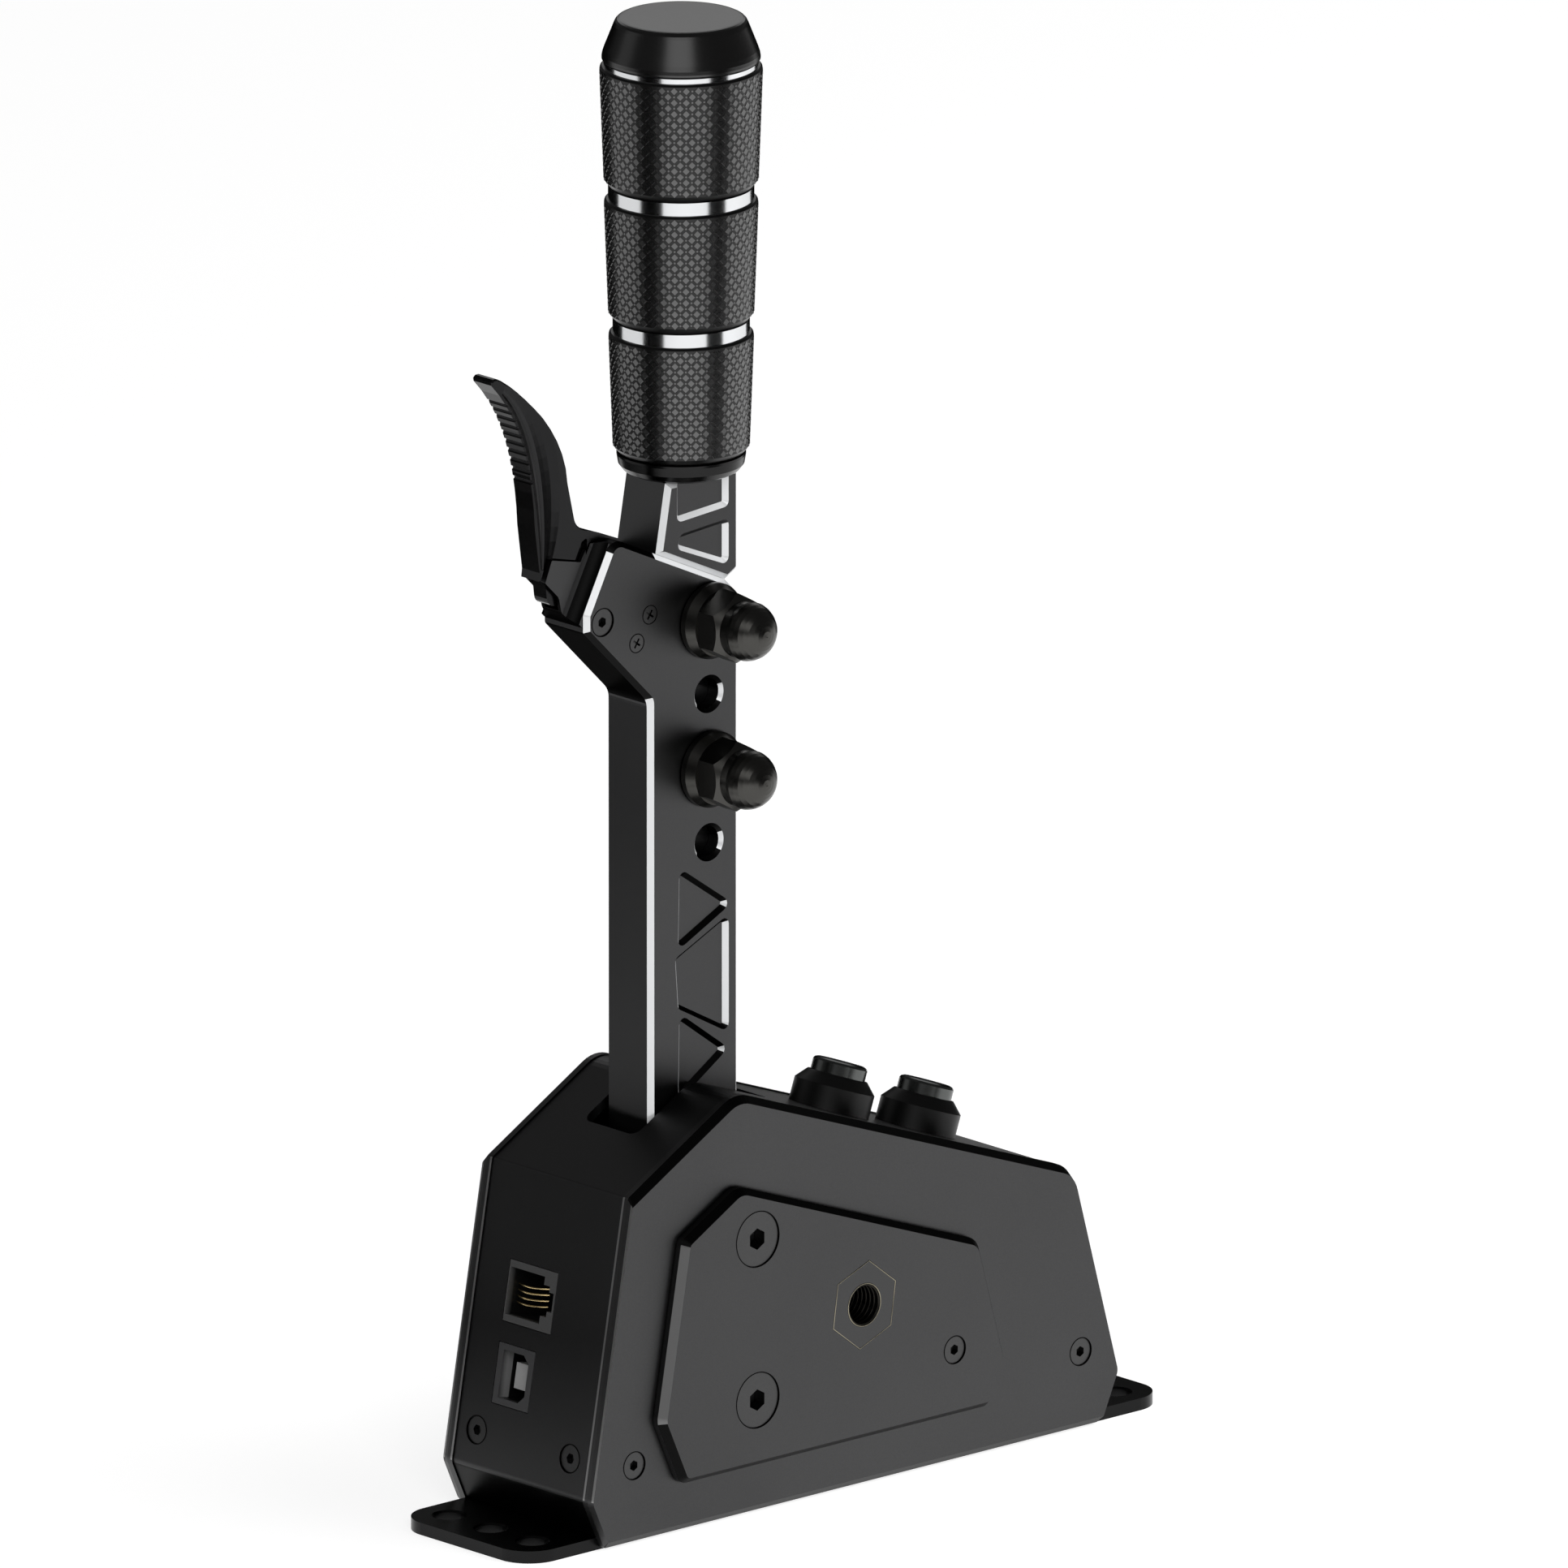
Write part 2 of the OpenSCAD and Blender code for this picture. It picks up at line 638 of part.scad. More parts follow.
module centring_block() {
    color("#6f7174") difference() {
        translate([block_rear, -half_w, base_t])
            cube([block_front - block_rear, inner_w, block_top - base_t]);
        for (s = [0, 1]) mirror([0, s, 0]) near_at([insert_x, insert_z], half_w + 1)
            rotate([180, 0, 0]) rod(insert_r + screw_gap, insert_len + 1);
        for (s = [-1, 1]) translate([block_rear - 1, 0, pivot_z + s * spring_rise]) rotate([0, 90, 0])
            rod(spring_seat_r, spring_seat_d + 1);
        base_screw_places() translate([0, 0, -1]) rod(m4_r + screw_gap, base_t + 9, 24);
    }
}

// Hexagonal threaded insert: flange through the side, round body in the block
module hex_insert(face, turn) {
    flange = face - half_w;
    difference() {
        union() {
            translate([0, 0, -flange]) rotate(turn)
                cylinder(r = insert_af / 2 / cos(30), h = flange, $fn = 6);
            translate([0, 0, -flange - insert_len]) rod(insert_r, insert_len);
        }
        translate([0, 0, -flange - insert_len - 1]) rod(thread_r, flange + insert_len + 2);
        turned([[0, 1], [thread_r + 1.4, 1], [thread_r + 0.5, 0.1], [thread_r - 0.4, -0.8], [0, -0.8]], 32);
    }
}
module hex_inserts() {
    color("#3a3a3a") {
        near_at([insert_x, insert_z], panel_y) hex_insert(panel_y, insert_turn);
        far_at([insert_x, insert_z], near_y) hex_insert(near_y, -insert_turn);
    }
}

// Rod between the side plates, drilled for a screw at each end
module tie_rod(p, r, screw_r, depth) {
    near_at(p, half_w) difference() {
        translate([0, 0, -inner_w]) rod(r, inner_w, 48);
        for (z = [0, 1]) translate([0, 0, -z * inner_w]) mirror([0, 0, z])
            turned([[0, 1], [screw_r + 1.6, 1], [screw_r + 0.1, -0.5], [screw_r + screw_gap, -0.5],
                [screw_r + screw_gap, -depth], [0, -depth]], 32);
    }
}
module cross_rod() {
    color("#8d9094") tie_rod([cross_x, pivot_z], 4, m3_r, 12);
}
module pivot_axle() {
    color("#b9bcc0") tie_rod([pivot_x, pivot_z], axle_r, m6_r, 12);
}
module stop_pin() {
    color("#b9bcc0") tie_rod([pivot_x, pivot_z + stop_rise], stop_r, m6_r, 12);
}
module axle_spacers() {
    len = half_w - half_bar - 0.1;
    color("#8d9094") for (s = [0, 1]) mirror([0, s, 0]) near_at([pivot_x, pivot_z], half_w) difference() {
        translate([0, 0, -len]) rod(axle_r + 1.5, len);
        translate([0, 0, -len - 1]) rod(axle_r + seat_gap, len + 2);
    }
}
module stop_bumper() {
    len = bar_t + 2;
    color("#1c1c1c") near_at([pivot_x, pivot_z + stop_rise], len / 2) difference() {
        translate([0, 0, -len]) rod(bumper_r, len, 48);
        translate([0, 0, -len - 1]) rod(stop_r + seat_gap, len + 2, 48);
    }
}

module pivot_screws() {
    color("#1f1f1f") for (p = [[pivot_x, pivot_z], [pivot_x, pivot_z + stop_rise]]) {
        near_at(p, panel_y) sunk_screw(m6_r, m6_head, panel_y - half_w + pivot_screw_len, 4);
        far_at(p, near_y) sunk_screw(m6_r, m6_head, near_y - half_w + pivot_screw_len, 4);
    }
}
module side_screws() {
    places = [[-rear_screw_x, end_screw_z], [front_screw_x, end_screw_z], [cross_x, pivot_z]];
    color("#1f1f1f") for (p = places) {
        face = p.x == cross_x ? panel_y : near_y;
        near_at(p, face) sunk_screw(m3_r, m3_head, face - half_w + side_screw_len, 2);
        far_at(p, near_y) sunk_screw(m3_r, m3_head, near_y - half_w + side_screw_len, 2);
    }
}
module end_screws() {
    color("#1f1f1f") for (y = [-1, 1]) {
        on_rear(rear_screw_z, y * rear_screw_y) sunk_screw(m3_r, m3_head, end_screw_len, 2);
        on_front(rear_screw_z, y * rear_screw_y) sunk_screw(m3_r, m3_head, end_screw_len, 2);
    }
}
module base_screws() {
    color("#1f1f1f") base_screw_places() mirror([0, 0, 1]) sunk_screw(m4_r, m4_head, base_t + 7, 2.5);
}

// Connector board, on its edge behind the rear face, in the frame of that face
module in_board_frame() {
    on_rear((data_z + usb_z) / 2, board_y, cover_step) children();
}
// The standoffs stand between the two sockets
module standoff_places() {
    for (z = [5, 14]) translate([0, 0, -cover_t - z]) rotate([-90, 0, 0]) children();
}
module io_board() {
    color("#1f5a33") in_board_frame() difference() {
        translate([-board_low, 0, -board_depth - cover_t])
            cube([board_low + board_high, board_t, board_depth]);
        standoff_places() translate([0, 0, -1]) rod(m2_r + screw_gap, board_t + 2, 24);
    }
}
module board_standoffs() {
    color("#b08a3c") in_board_frame() standoff_places() {
        translate([0, 0, board_t]) rod(2.2, half_w - board_y - board_t, 24);
        translate([0, 0, -1]) rod(m2_r, board_t + 1.5, 24);
        translate([0, 0, -1.3]) rod(1.9, 1.3, 24);
    }
}

// Telephone-type socket: its opening is stepped for the plug's latch, away from the board
module data_socket() {
    depth = data_depth;
    y = data_w / 2 - 0.4;
    color("#4a4a4a") on_rear(data_z, board_y - data_w / 2) difference() {
        translate([-data_h / 2, -data_w / 2, -depth]) cube([data_h, data_w, depth]);
        for (step = [[9.9, 10.4, depth - 3], [6.5, 12.2, depth - 6], [4, 13.6, depth - 6]])
            translate([-step.x / 2, y - step.y, -step.z]) cube([step.x, step.y, step.z + 1]);
    }
}
// Spring wires, bent back into the socket from its board side
module data_contacts() {
    y = data_w / 2 - 0.4;
    color("#c9a13b") on_rear(data_z, board_y - data_w / 2) for (i = [-1.5:1.5])
        translate([i * 1.27 - 0.25, y, 5 - data_depth]) {
            translate([0, -0.5, 0]) cube([0.5, 0.5, data_depth - 7.5]);
            multmatrix([[1, 0, 0, 0], [0, 1, 0, -6], [0, 1.15, 1, 2.1], [0, 0, 0, 1]])
                cube([0.5, 5.7, 0.6]);
        }
}
// Square printer-type socket with its two cut corners, and the tongue inside
module usb_socket() {
    depth = usb_depth;
    color("#a9abae") on_rear(usb_z, board_y - usb_w / 2) difference() {
        translate([-usb_h / 2, -usb_w / 2, -depth]) cube([usb_h, usb_w, depth]);
        translate([0, 0, -depth + 2]) linear_extrude(depth)
            polygon([[-5, 3.9], [5, 3.9], [5, -2.2], [3.4, -3.9], [-3.4, -3.9], [-5, -2.2]]);
    }
}
module usb_tongue() {
    color("#e6e6e6") on_rear(usb_z, board_y - usb_w / 2)
        translate([-2.7, -1.25, 2 - usb_depth]) cube([5.4, 3.5, usb_depth - 4.6]);
}

// Hall sensor board on the rear block, facing the magnet in the lever
module sensor_board() {
    color("#1f5a33") translate([rear_block_in, -9, base_t + 0.5]) {
        cube([1.6, 18, 18]);
        translate([1.5, 7, pivot_z - spring_rise - base_t - 2.5]) cube([1.4, 4, 3.2]);
    }
}
module board_places() {
    y = board_half - board_screw_in;
    for (x = [board_rear + board_screw_in, board_front - board_screw_in], s = [-1, 1])
        translate([x, s * y, base_t]) children();
}
module control_board() {
    mid = (board_rear + board_front) / 2;
    color("#1f5a33") difference() {
        translate([0, 0, base_t + board_lift]) union() {
            translate([board_rear, -board_half, 0])
                cube([board_front - board_rear, 2 * board_half, board_t]);
            translate([mid - 5, -5, board_t - 0.1]) cube([8, 8, 1.3]);
            translate([mid + 8, -10, board_t - 0.1]) cube([6, 20, 4]);
        }
        board_places() rod(m2_r + 0.25 + screw_gap, 12, 24);
    }
}
module board_spacers() {
    color("#b08a3c") board_places() difference() {
        rod(2.5, board_lift, 24);
        translate([0, 0, 1]) rod(m2_r + 0.25 + screw_gap, board_lift, 24);
    }
}
module board_screws() {
    color("#8d9094") board_places() translate([0, 0, board_lift + board_t]) {
        translate([0, 0, -6]) rod(m2_r + 0.25, 6.5, 24);
        turned([[0, 0], [2.2, 0], [2.2, 0.9], [1.6, 1.6], [0, 1.6]], 24);
    }
}

// Centring springs between the lever and the block
module centring_springs() {
    len = block_rear + spring_seat_d - bar_front;
    color("#b9bcc0") for (s = [-1, 1])
        translate([bar_front, 0, pivot_z + s * spring_rise]) rotate([0, 90, 0])
            coil(spring_r, spring_wire, len, 6);
}

// Side view of the lever bar with its head
function bar_corners() =
    let (
        nose_x = bar_front - nose,
        nose_p = meet(seam_line, [[nose_x, 0], 90]),
        top = meet(seam_line, head_lean_line),
        knee = meet(head_lean_line, [[head_edge, 0], 90])
    )
    [
        [bar_rear, bar_foot, 6], [bar_front, bar_foot, 6], [bar_front, nose_p.y - nose, 1.2],
        [nose_p.x, nose_p.y, 0], [top.x, top.y, 3], [knee.x, knee.y, 1.6],
        [head_edge, head_sum - head_edge, 1.2], [bar_rear, head_sum - bar_rear, 4]
    ];
// Thin cheeks behind the head, which the trigger's root swings between
function cheek_outline() = moved(rounded([
    [-10.5, 14.3, 0.3], [-12.3, 9.8, 0.3], [-8.6, 6.1, 2], [-7.8, 2.6, 2], [-4.2, -0.9, 0.4],
    [4, -0.9, 0], [5, 13, 0], [2.6, 16.2, 0],
    [cheek_notch[0].x, cheek_notch[0].y, 0.3], [cheek_notch[1].x, cheek_notch[1].y, 0.3]
], 4), trigger_pivot);

// Weight-saving pocket with sloping walls, cut into the near side at depth pocket_d
module pocket(corners) {
    over = -0.2;
    stack([
        [rounded(inset(corners, over, over), 4), -half_bar + over],
        [rounded(inset(corners, pocket_d, pocket_d), 4), pocket_d - half_bar]
    ]);
}
// Three pockets of a truss, between the height z0 and z1
module bar_pockets() {
    rear = bar_rear + 8;
    front = bar_front - 3;
    z0 = 86;
    module both() {
        for (s = [0, 1]) mirror([0, s, 0]) children();
    }
    both() {
        pocket([[rear - 0.4, z0, 1.3], [front, z0 + 9, 1.5], [rear, z0 + 19, 1.3]]);
        pocket([[rear - 0.4, z0 + 20, 1.3], [front, z0 + 12.3, 1.3], [front, z0 + 37.6, 1.3],
            [rear - 1.2, z0 + 30.8, 1.3]]);
        pocket([[rear - 0.4, z0 + 32.4, 1.3], [front + 1, z0 + 39.8, 1.5], [rear, z0 + 50, 1.3]]);
    }
}
module through(p, r) {
    near_at(p, half_bar + 1) rotate([180, 0, 0]) rod(r, bar_t + 2);
}
module bolt_holes() {
    r = bolt_d / 2 + screw_gap;
    for (i = [0:3]) through([bolt_x, bolt_z - i * bolt_pitch], r);
    for (i = [1, 3], s = [0, 1]) mirror([0, s, 0]) near_at([bolt_x, bolt_z - i * bolt_pitch], half_bar)
        turned([[0, 1], [r + 1.75, 1], [r, -0.75], [0, -0.75]], 32);
}

// Rounded corner between the thin cheek and the head's rear edge
module cheek_fillet() {
    top = meet(seam_line, head_lean_line);
    intersection() {
        translate([top.x, 0, top.y]) rotate([0, head_lean, 0]) translate([-fillet_r, 0, -22])
            difference() {
                translate([0, -half_bar + bar_bevel + 0.1, 0])
                    cube([fillet_r + 1.5, fillet_r - bar_bevel + 0.5, 22]);
                translate([0, -half_bar, -1]) rod(fillet_r + 0.1, 24, 48);
            }
        slab(-half_bar, 0) polygon(cheek_outline());
    }
}

// Places in the microswitch's frame: local X along its body, local Z out of the near side
module switch_frame() {
    near_at(trigger_pivot + switch_at, 0) rotate(switch_turn) children();
}
module switch_box(grow) {
    translate([-switch_len / 2 - grow, switch_low - grow, -switch_w / 2 - grow])
        cube([switch_len + 2 * grow, switch_top - switch_low + 2 * grow, switch_w + 2 * grow]);
}
module switch_screw_places() {
    for (s = [-1, 1]) switch_frame() translate([s * switch_hole_gap / 2, 0, half_bar]) children();
}

module head_slots() {
    slot = [[-18, 24], [slot_wall, 24], [slot_wall, 10], [10.5, 4.9], [3.2, -6.1], [1, -3.5], [-2.3, -3.2],
        [-3.9, -0.6], [-6.6, 2.6], [-11, 4.2], [-18, 4.2]];
    wide = [[-1.2, 24], [slot_wall, 24], [slot_wall, 10], [10.5, 4.9], [3.2, -6.1], [0.5, -3.2], [0.5, 9],
        [-1.2, 13]];
    slab(-root_t / 2 - slide_gap, root_t / 2 + slide_gap) polygon(moved(slot, trigger_pivot));
    slab(-trigger_t / 2 - slide_gap, trigger_t / 2 + slide_gap) polygon(moved(wide, trigger_pivot));
    switch_frame() switch_box(slide_gap);
    switch_frame() translate([-switch_len / 2, -4.6, -2]) cube([switch_len, 4.6, 4]);
    switch_frame() translate([0.8, switch_top - 1, -1.4]) cube([2.2, 2.2, 2.8]);
}

module lever_bar() {
    window = [bumper_r + stop_rise * sin(lever_swing) + stop_gap, bumper_r + 0.8];
    color("#474747") difference() {
        union() {
            bevelled(bar_corners(), half_bar, bar_bevel);
            slab(-cheek_y, cheek_y) polygon(cheek_outline());
            cheek_fillet();
            mirror([0, 1, 0]) cheek_fillet();
            for (s = [-1, 1]) translate([bar_front - 1, 0, pivot_z + s * spring_rise]) rotate([0, 90, 0])
                rod(spring_r - spring_wire - 0.4, 4, 24);
        }
        through([pivot_x, pivot_z], axle_r + 2);
        for (s = [0, 1]) mirror([0, s, 0]) near_at([pivot_x, pivot_z], half_bar - bearing_w)
            rod(bearing_r + seat_gap, bearing_w + 1, 48);
        translate([pivot_x - window.x, -half_bar - 1, pivot_z + stop_rise - window.y])
            cube([2 * window.x, bar_t + 2, 2 * window.y]);
        translate([mortise_rear, -tongue_t / 2 - slide_gap, mortise_foot])
            cube([mortise_front - mortise_rear, tongue_t + 2 * slide_gap, seam_z - mortise_foot + 9]);
        bolt_holes();
        bar_pockets();
        head_slots();
        near_at(trigger_pivot, half_bar) sunk_hole(m3_r, m3_head, bar_t + 1);
        switch_screw_places() sunk_hole(m2_r, m2_head, bar_t - 2);
        translate([bar_rear, 0, pivot_z - spring_rise]) rotate([0, 90, 0]) translate([0, 0, -1])
            rod(3 + seat_gap, 3);
    }
}

module lever_bearings() {
    groove = 0.5;
    color("#c4c7ca") for (s = [0, 1]) mirror([0, s, 0]) near_at([pivot_x, pivot_z], half_bar)
        turned([
            [axle_r + run_gap, 0], [axle_r + 1.2, 0], [axle_r + 1.5, -groove], [bearing_r - 1.3, -groove],
            [bearing_r - 1, 0], [bearing_r, 0], [bearing_r, -bearing_w], [axle_r + run_gap, -bearing_w]
        ]);
}
module sensor_magnet() {
    color("#b9bcc0") translate([bar_rear - 1, 0, pivot_z - spring_rise]) rotate([0, 90, 0]) rod(3, 3);
}

// Stem on top of the bar: its tongue runs down in the bar and sets the height of the grip
module stem() {
    top_rear = stem_rear + (grip_z - seam_z) * tan(stem_lean);
    nose_p = meet(seam_line, [[bar_front - nose, 0], 90]);
    corners = [
        [stem_rear, seam_z + seam_gap, 0], [nose_p.x, nose_p.y + seam_gap, 0],
        [bar_front, nose_p.y + 1.9, 0.9],
        [bar_front, grip_z, 0], [top_rear, grip_z, 0]
    ];
    front = bar_front - 3;
    rear = bar_rear + 8;
    z0 = nose_p.y + 3.2;
    color("#474747") difference() {
        union() {
            bevelled(corners, half_bar, bar_bevel);
            translate([mortise_rear + slide_gap, -tongue_t / 2, mortise_foot + 3])
                cube([mortise_front - mortise_rear - 2 * slide_gap, tongue_t, seam_z - mortise_foot]);
            translate([grip_x, 0, grip_z - 3]) rod(stud_r, stud_len + 3, 48);
        }
        for (s = [0, 1]) mirror([0, s, 0]) {
            pocket([[front, z0, 1.3], [front, z0 + 10, 1.3], [rear + 0.4, z0 + 9, 1.3],
                [rear - 0.6, z0 + 6, 1.3]]);
            pocket([[front, z0 + 12.6, 1.3], [front, grip_z + 2, 0], [rear - 0.6, grip_z + 2, 0],
                [rear - 0.6, z0 + 11.6, 1.3]]);
        }
        bolt_holes();
    }
}

module clamp_places() {
    for (i = [0, 2]) near_at([bolt_x, bolt_z - i * bolt_pitch], half_bar) children();
}
// Clamp bolts: low heads on the far side, the shanks end inside the cap nuts
module clamp_bolts() {
    r = bolt_d / 2;
    color("#1f1f1f") clamp_places() difference() {
        translate([0, 0, -bar_t]) turned([
            [0, -4.4], [4, -4.4], [6.4, -2.6], [7, -0.6], [7, 0], [r, 0],
            [r, bar_t + 11], [r - 0.8, bar_t + 11.8], [0, bar_t + 11.8]
        ]);
        translate([0, 0, -bar_t - 5]) cylinder(r = 2.5 / cos(30), h = 3, $fn = 6);
    }
}
module clamp_washers() {
    color("#262626") clamp_places() turned([
        [bolt_d / 2 + screw_gap, 0], [7.7, 0], [8, 0.3], [8, washer_t - 2], [7, washer_t],
        [bolt_d / 2 + screw_gap, washer_t]
    ]);
}
// Domed cap nuts: a hexagon with turned corners below the dome
module cap_nuts() {
    af = 13;
    hex_h = 6.2;
    dome_r = 6.25;
    dome_z = washer_t + 8;
    r = bolt_d / 2 + screw_gap;
    color("#262626") clamp_places() difference() {
        union() {
            intersection() {
                translate([0, 0, washer_t]) rotate(30) cylinder(r = af / 2 / cos(30), h = hex_h, $fn = 6);
                turned([[0, 0], [af / 2 + 0.5, washer_t], [af / 2 + 1.1, washer_t + 0.6],
                    [af / 2 + 1.1, washer_t + hex_h - 1.4], [af / 2 - 0.6, washer_t + hex_h],
                    [0, washer_t + hex_h]]);
            }
            turned(concat([[0, washer_t + 1], [dome_r - 0.35, washer_t + 1], [dome_r - 0.35, dome_z]],
                [for (a = [10:10:90]) [dome_r * cos(a), dome_z + dome_r * sin(a)]]));
        }
        translate([0, 0, -1]) rod(r, 14);
    }
}

// Spindle of the grip, with the sleeves and rings threaded on it
module on_grip(z) {
    translate([grip_x, 0, z]) children();
}
module grip_core() {
    h = cap_z - sleeve_z0;
    color("#8d9094") on_grip(sleeve_z0) difference() {
        rod(core_r, h, 48);
        translate([0, 0, -1]) rod(stud_r + seat_gap, stud_len - collar_h + 1.5, 48);
        translate([0, 0, h - 12]) rod(3 + screw_gap, 13);
    }
}
module grip_collar() {
    r = grip_r0;
    color("#262626") on_grip(grip_z) turned([
        [stud_r + seat_gap, 0], [r - 3, 0], [r - 1.9, 0.6], [r - 1, 1.8], [r - 0.7, collar_h - 0.5],
        [r - 0.7, collar_h], [stud_r + seat_gap, collar_h]
    ], 64);
}
module grip_sleeve(k) {
    z = sleeve_z0 + k * (sleeve_h + ring_h);
    lower = grip_r(z);
    upper = grip_r(z + sleeve_h);
    color("#303030") on_grip(z) turned([
        [core_r + seat_gap, 0], [lower - 1.2, 0], [lower, 1.5], [upper, sleeve_h - 0.4],
        [upper - 0.4, sleeve_h], [core_r + seat_gap, sleeve_h]
    ], 64);
}
module grip_sleeve_lower() {
    grip_sleeve(0);
}
module grip_sleeve_middle() {
    grip_sleeve(1);
}
module grip_sleeve_upper() {
    grip_sleeve(2);
}
module grip_rings() {
    color("#dfe1e3") for (k = [0:2]) {
        z = sleeve_z0 + (k + 1) * sleeve_h + k * ring_h;
        h = k == 2 ? top_ring_h : ring_h;
        r = grip_r(z) - ring_step;
        on_grip(z) turned([[core_r + seat_gap, 0], [r, 0], [r, h], [core_r + seat_gap, h]], 64);
    }
}
module grip_cap() {
    r = grip_r1 - 0.4;
    color("#262626") on_grip(cap_z) {
        turned([[0, 0], [r - 0.5, 0], [r, 0.5], [r, 0.9], [r - 0.12, 1.6], [r - 0.45, 2.6],
            [r - 2.45, cap_h - 1.3], [r - 2.75, cap_h - 0.7], [r - 3.15, cap_h - 0.3],
            [r - 3.6, cap_h - 0.08], [r - 4.1, cap_h], [0, cap_h]], 64);
        translate([0, 0, -10]) rod(3, 11);
    }
}

module trigger_pin() {
    color("#3a3a3a") near_at(trigger_pivot, half_bar) sunk_screw(m3_r, m3_head, bar_t, 2);
}
module trigger_switch() {
    color("#202022") switch_frame() difference() {
        union() {
            switch_box(0);
            translate([1.2, switch_top - 0.5, -1]) cube([1.4, 1, 2]);
            for (x = [-5, 0, 5]) translate([x - 0.4, switch_low - 2.4, -0.6]) cube([0.8, 3, 1.2]);
        }
        for (s = [-1, 1]) translate([s * switch_hole_gap / 2, 0, -5]) rod(m2_r + screw_gap, 10, 24);
    }
}
module switch_screws() {
    color("#3a3a3a") switch_screw_places() difference() {
        turned([[0, 0], [m2_head, 0], [m2_head, -rim], [m2_r, -rim - m2_head + m2_r],
            [m2_r, -bar_t + 2.5], [0, -bar_t + 2.5]], 24);
        for (a = [0, 90]) rotate(a) translate([-1.1, -0.22, -0.7]) cube([2.2, 0.44, 1]);
    }
}

// Trigger: curves of its rear and front edges, from the tip down, seen from its pivot
rear_edge = [[-26.9, 54.4], [-18.9, 46.3], [-15.5, 34.8], [-14.9, 21.8]];
front_edge = [[-24.3, 55], [-16.9, 50.3], [-6.5, 40.8], [-5.9, 29.8]];
function curve(c, steps) = bezier(c[0], c[1], c[2], c[3], steps);
function curve_at(c, t) =
    let (u = 1 - t) u * u * u * c[0] + 3 * u * u * t * c[1] + 3 * u * t * t * c[2] + t * t * t * c[3];
// A point that stands at p with the trigger pulled, seen with the trigger at rest
function swung(p) = let (c = cos(trigger_travel), s = sin(trigger_travel))
    [p.x * c - p.y * s, p.x * s + p.y * c];
function blade_outline() = concat(
    [[-13.8, 10.4], [-13.6, 12.2], [-14.1, 15.8]],
    reversed(curve(rear_edge, 10)),
    [[-27, 55.1], [-26.4, 55.6], [-25.5, 55.6]],
    curve(front_edge, 10),
    arc_at(front_edge[3], [-3.7, 20.2], [-0.6, 19], 3.2, 5),
    [[-0.6, 19], [-0.6, 17.2]],
    [for (p = cheek_notch) swung(p) + [-0.45, 0.6]],
    [[-11.65, 14.8], [-13.3, 10.4]]
);
function root_outline() = rounded([
    [-8, 19, 0], [-9.8, 15, 0], [-11.4, 9.6, 1], [-10.8, 4.8, 2], [-6.6, 3.4, 2], [-hub_r, 0, 0],
    [-hub_r * 0.7, -hub_r * 0.7, 0], [0, -hub_r, 0], [hub_r * 0.7, -hub_r * 0.7, 0], [hub_r, 0, 1],
    [6.4, 1.6, 0.5], [8, 4, 0.5], [8.8, 9, 0], [4, 14, 0]
], 4);
function shield_outline() = [[-1.4, 19.2], [8.4, 15.4], [9.3, 12.4], [9, 9.6], [2, 9.6], [-0.7, 13.2],
    [-0.7, 17], [-1.4, 17.4]];

// Round-bottomed hollow that runs down the near side of the blade and fades out at both ends
flute_path = [[-25.9, 54.1], [-12, 48], [-9.2, 26], [-13, 9.9]];
flute_half = 3.8;
module flute() {
    steps = 18;
    arc = 8;
    over = 0.4;
    n = arc + 3;
    rings = [for (i = [1:steps - 1]) let (
        t = i / steps,
        c = trigger_pivot + curve_at(flute_path, t),
        d = unit(curve_at(flute_path, t + 0.02) - curve_at(flute_path, t - 0.02)),
        fade = pow(sin(180 * t), 0.7),
        w = flute_half * fade, h = flute_depth * fade,
        r = (w * w + h * h) / (2 * h),
        half = asin(w / r)
    ) [for (k = [0:n - 1]) let (
        a = half * (2 * min(k, arc) / arc - 1),
        q = k > arc ? [w * (k > arc + 1 ? -1 : 1), -over] : [r * sin(a), r * cos(a) - r + h]
    ) [c.x - d.y * q.x, q.y - cheek_y, c.y + d.x * q.x]]];
    m = len(rings);
    faces = concat(
        [for (i = [0:m - 2], k = [0:n - 1])
            let (j = (k + 1) % n, a = i * n, b = a + n)
            each [[a + k, b + k, b + j], [a + k, b + j, a + j]]],
        [[for (k = [0:n - 1]) k], [for (k = [0:n - 1]) m * n - 1 - k]]
    );
    polyhedron([for (g = rings) each g], faces);
}

module trigger() {
    color("#3c3c3c") difference() {
        union() {
            bevelled(moved(blade_outline(), trigger_pivot), cheek_y, 0.3);
            slab(-root_t / 2, root_t / 2) polygon(moved(root_outline(), trigger_pivot));
            slab(-cheek_y + 0.1, cheek_y - 0.1) polygon(moved(shield_outline(), trigger_pivot));
            near_at(trigger_pivot, root_t / 2) rotate([180, 0, 0]) rod(hub_r, root_t);
        }
        through(trigger_pivot, m3_r + run_gap);
        flute();
        mirror([0, 1, 0]) flute();
        for (i = [0:rib_count - 1])
            let (p = curve_at(rear_edge, 0.19 + 0.06 * i))
            through(trigger_pivot + p + [-0.1, -0.1], rib_r);
        translate([trigger_pivot.x + spring_back, 0, trigger_pivot.y + spring_up]) rotate([0, 90, 0])
            rod(1.5, 6, 24);
    }
}
module trigger_spring() {
    color("#b9bcc0") translate([trigger_pivot.x + spring_back, 0, trigger_pivot.y + spring_up])
        rotate([0, 90, 0]) coil(1.1, 0.2, slot_wall - spring_back, 6, 5, 8);
}

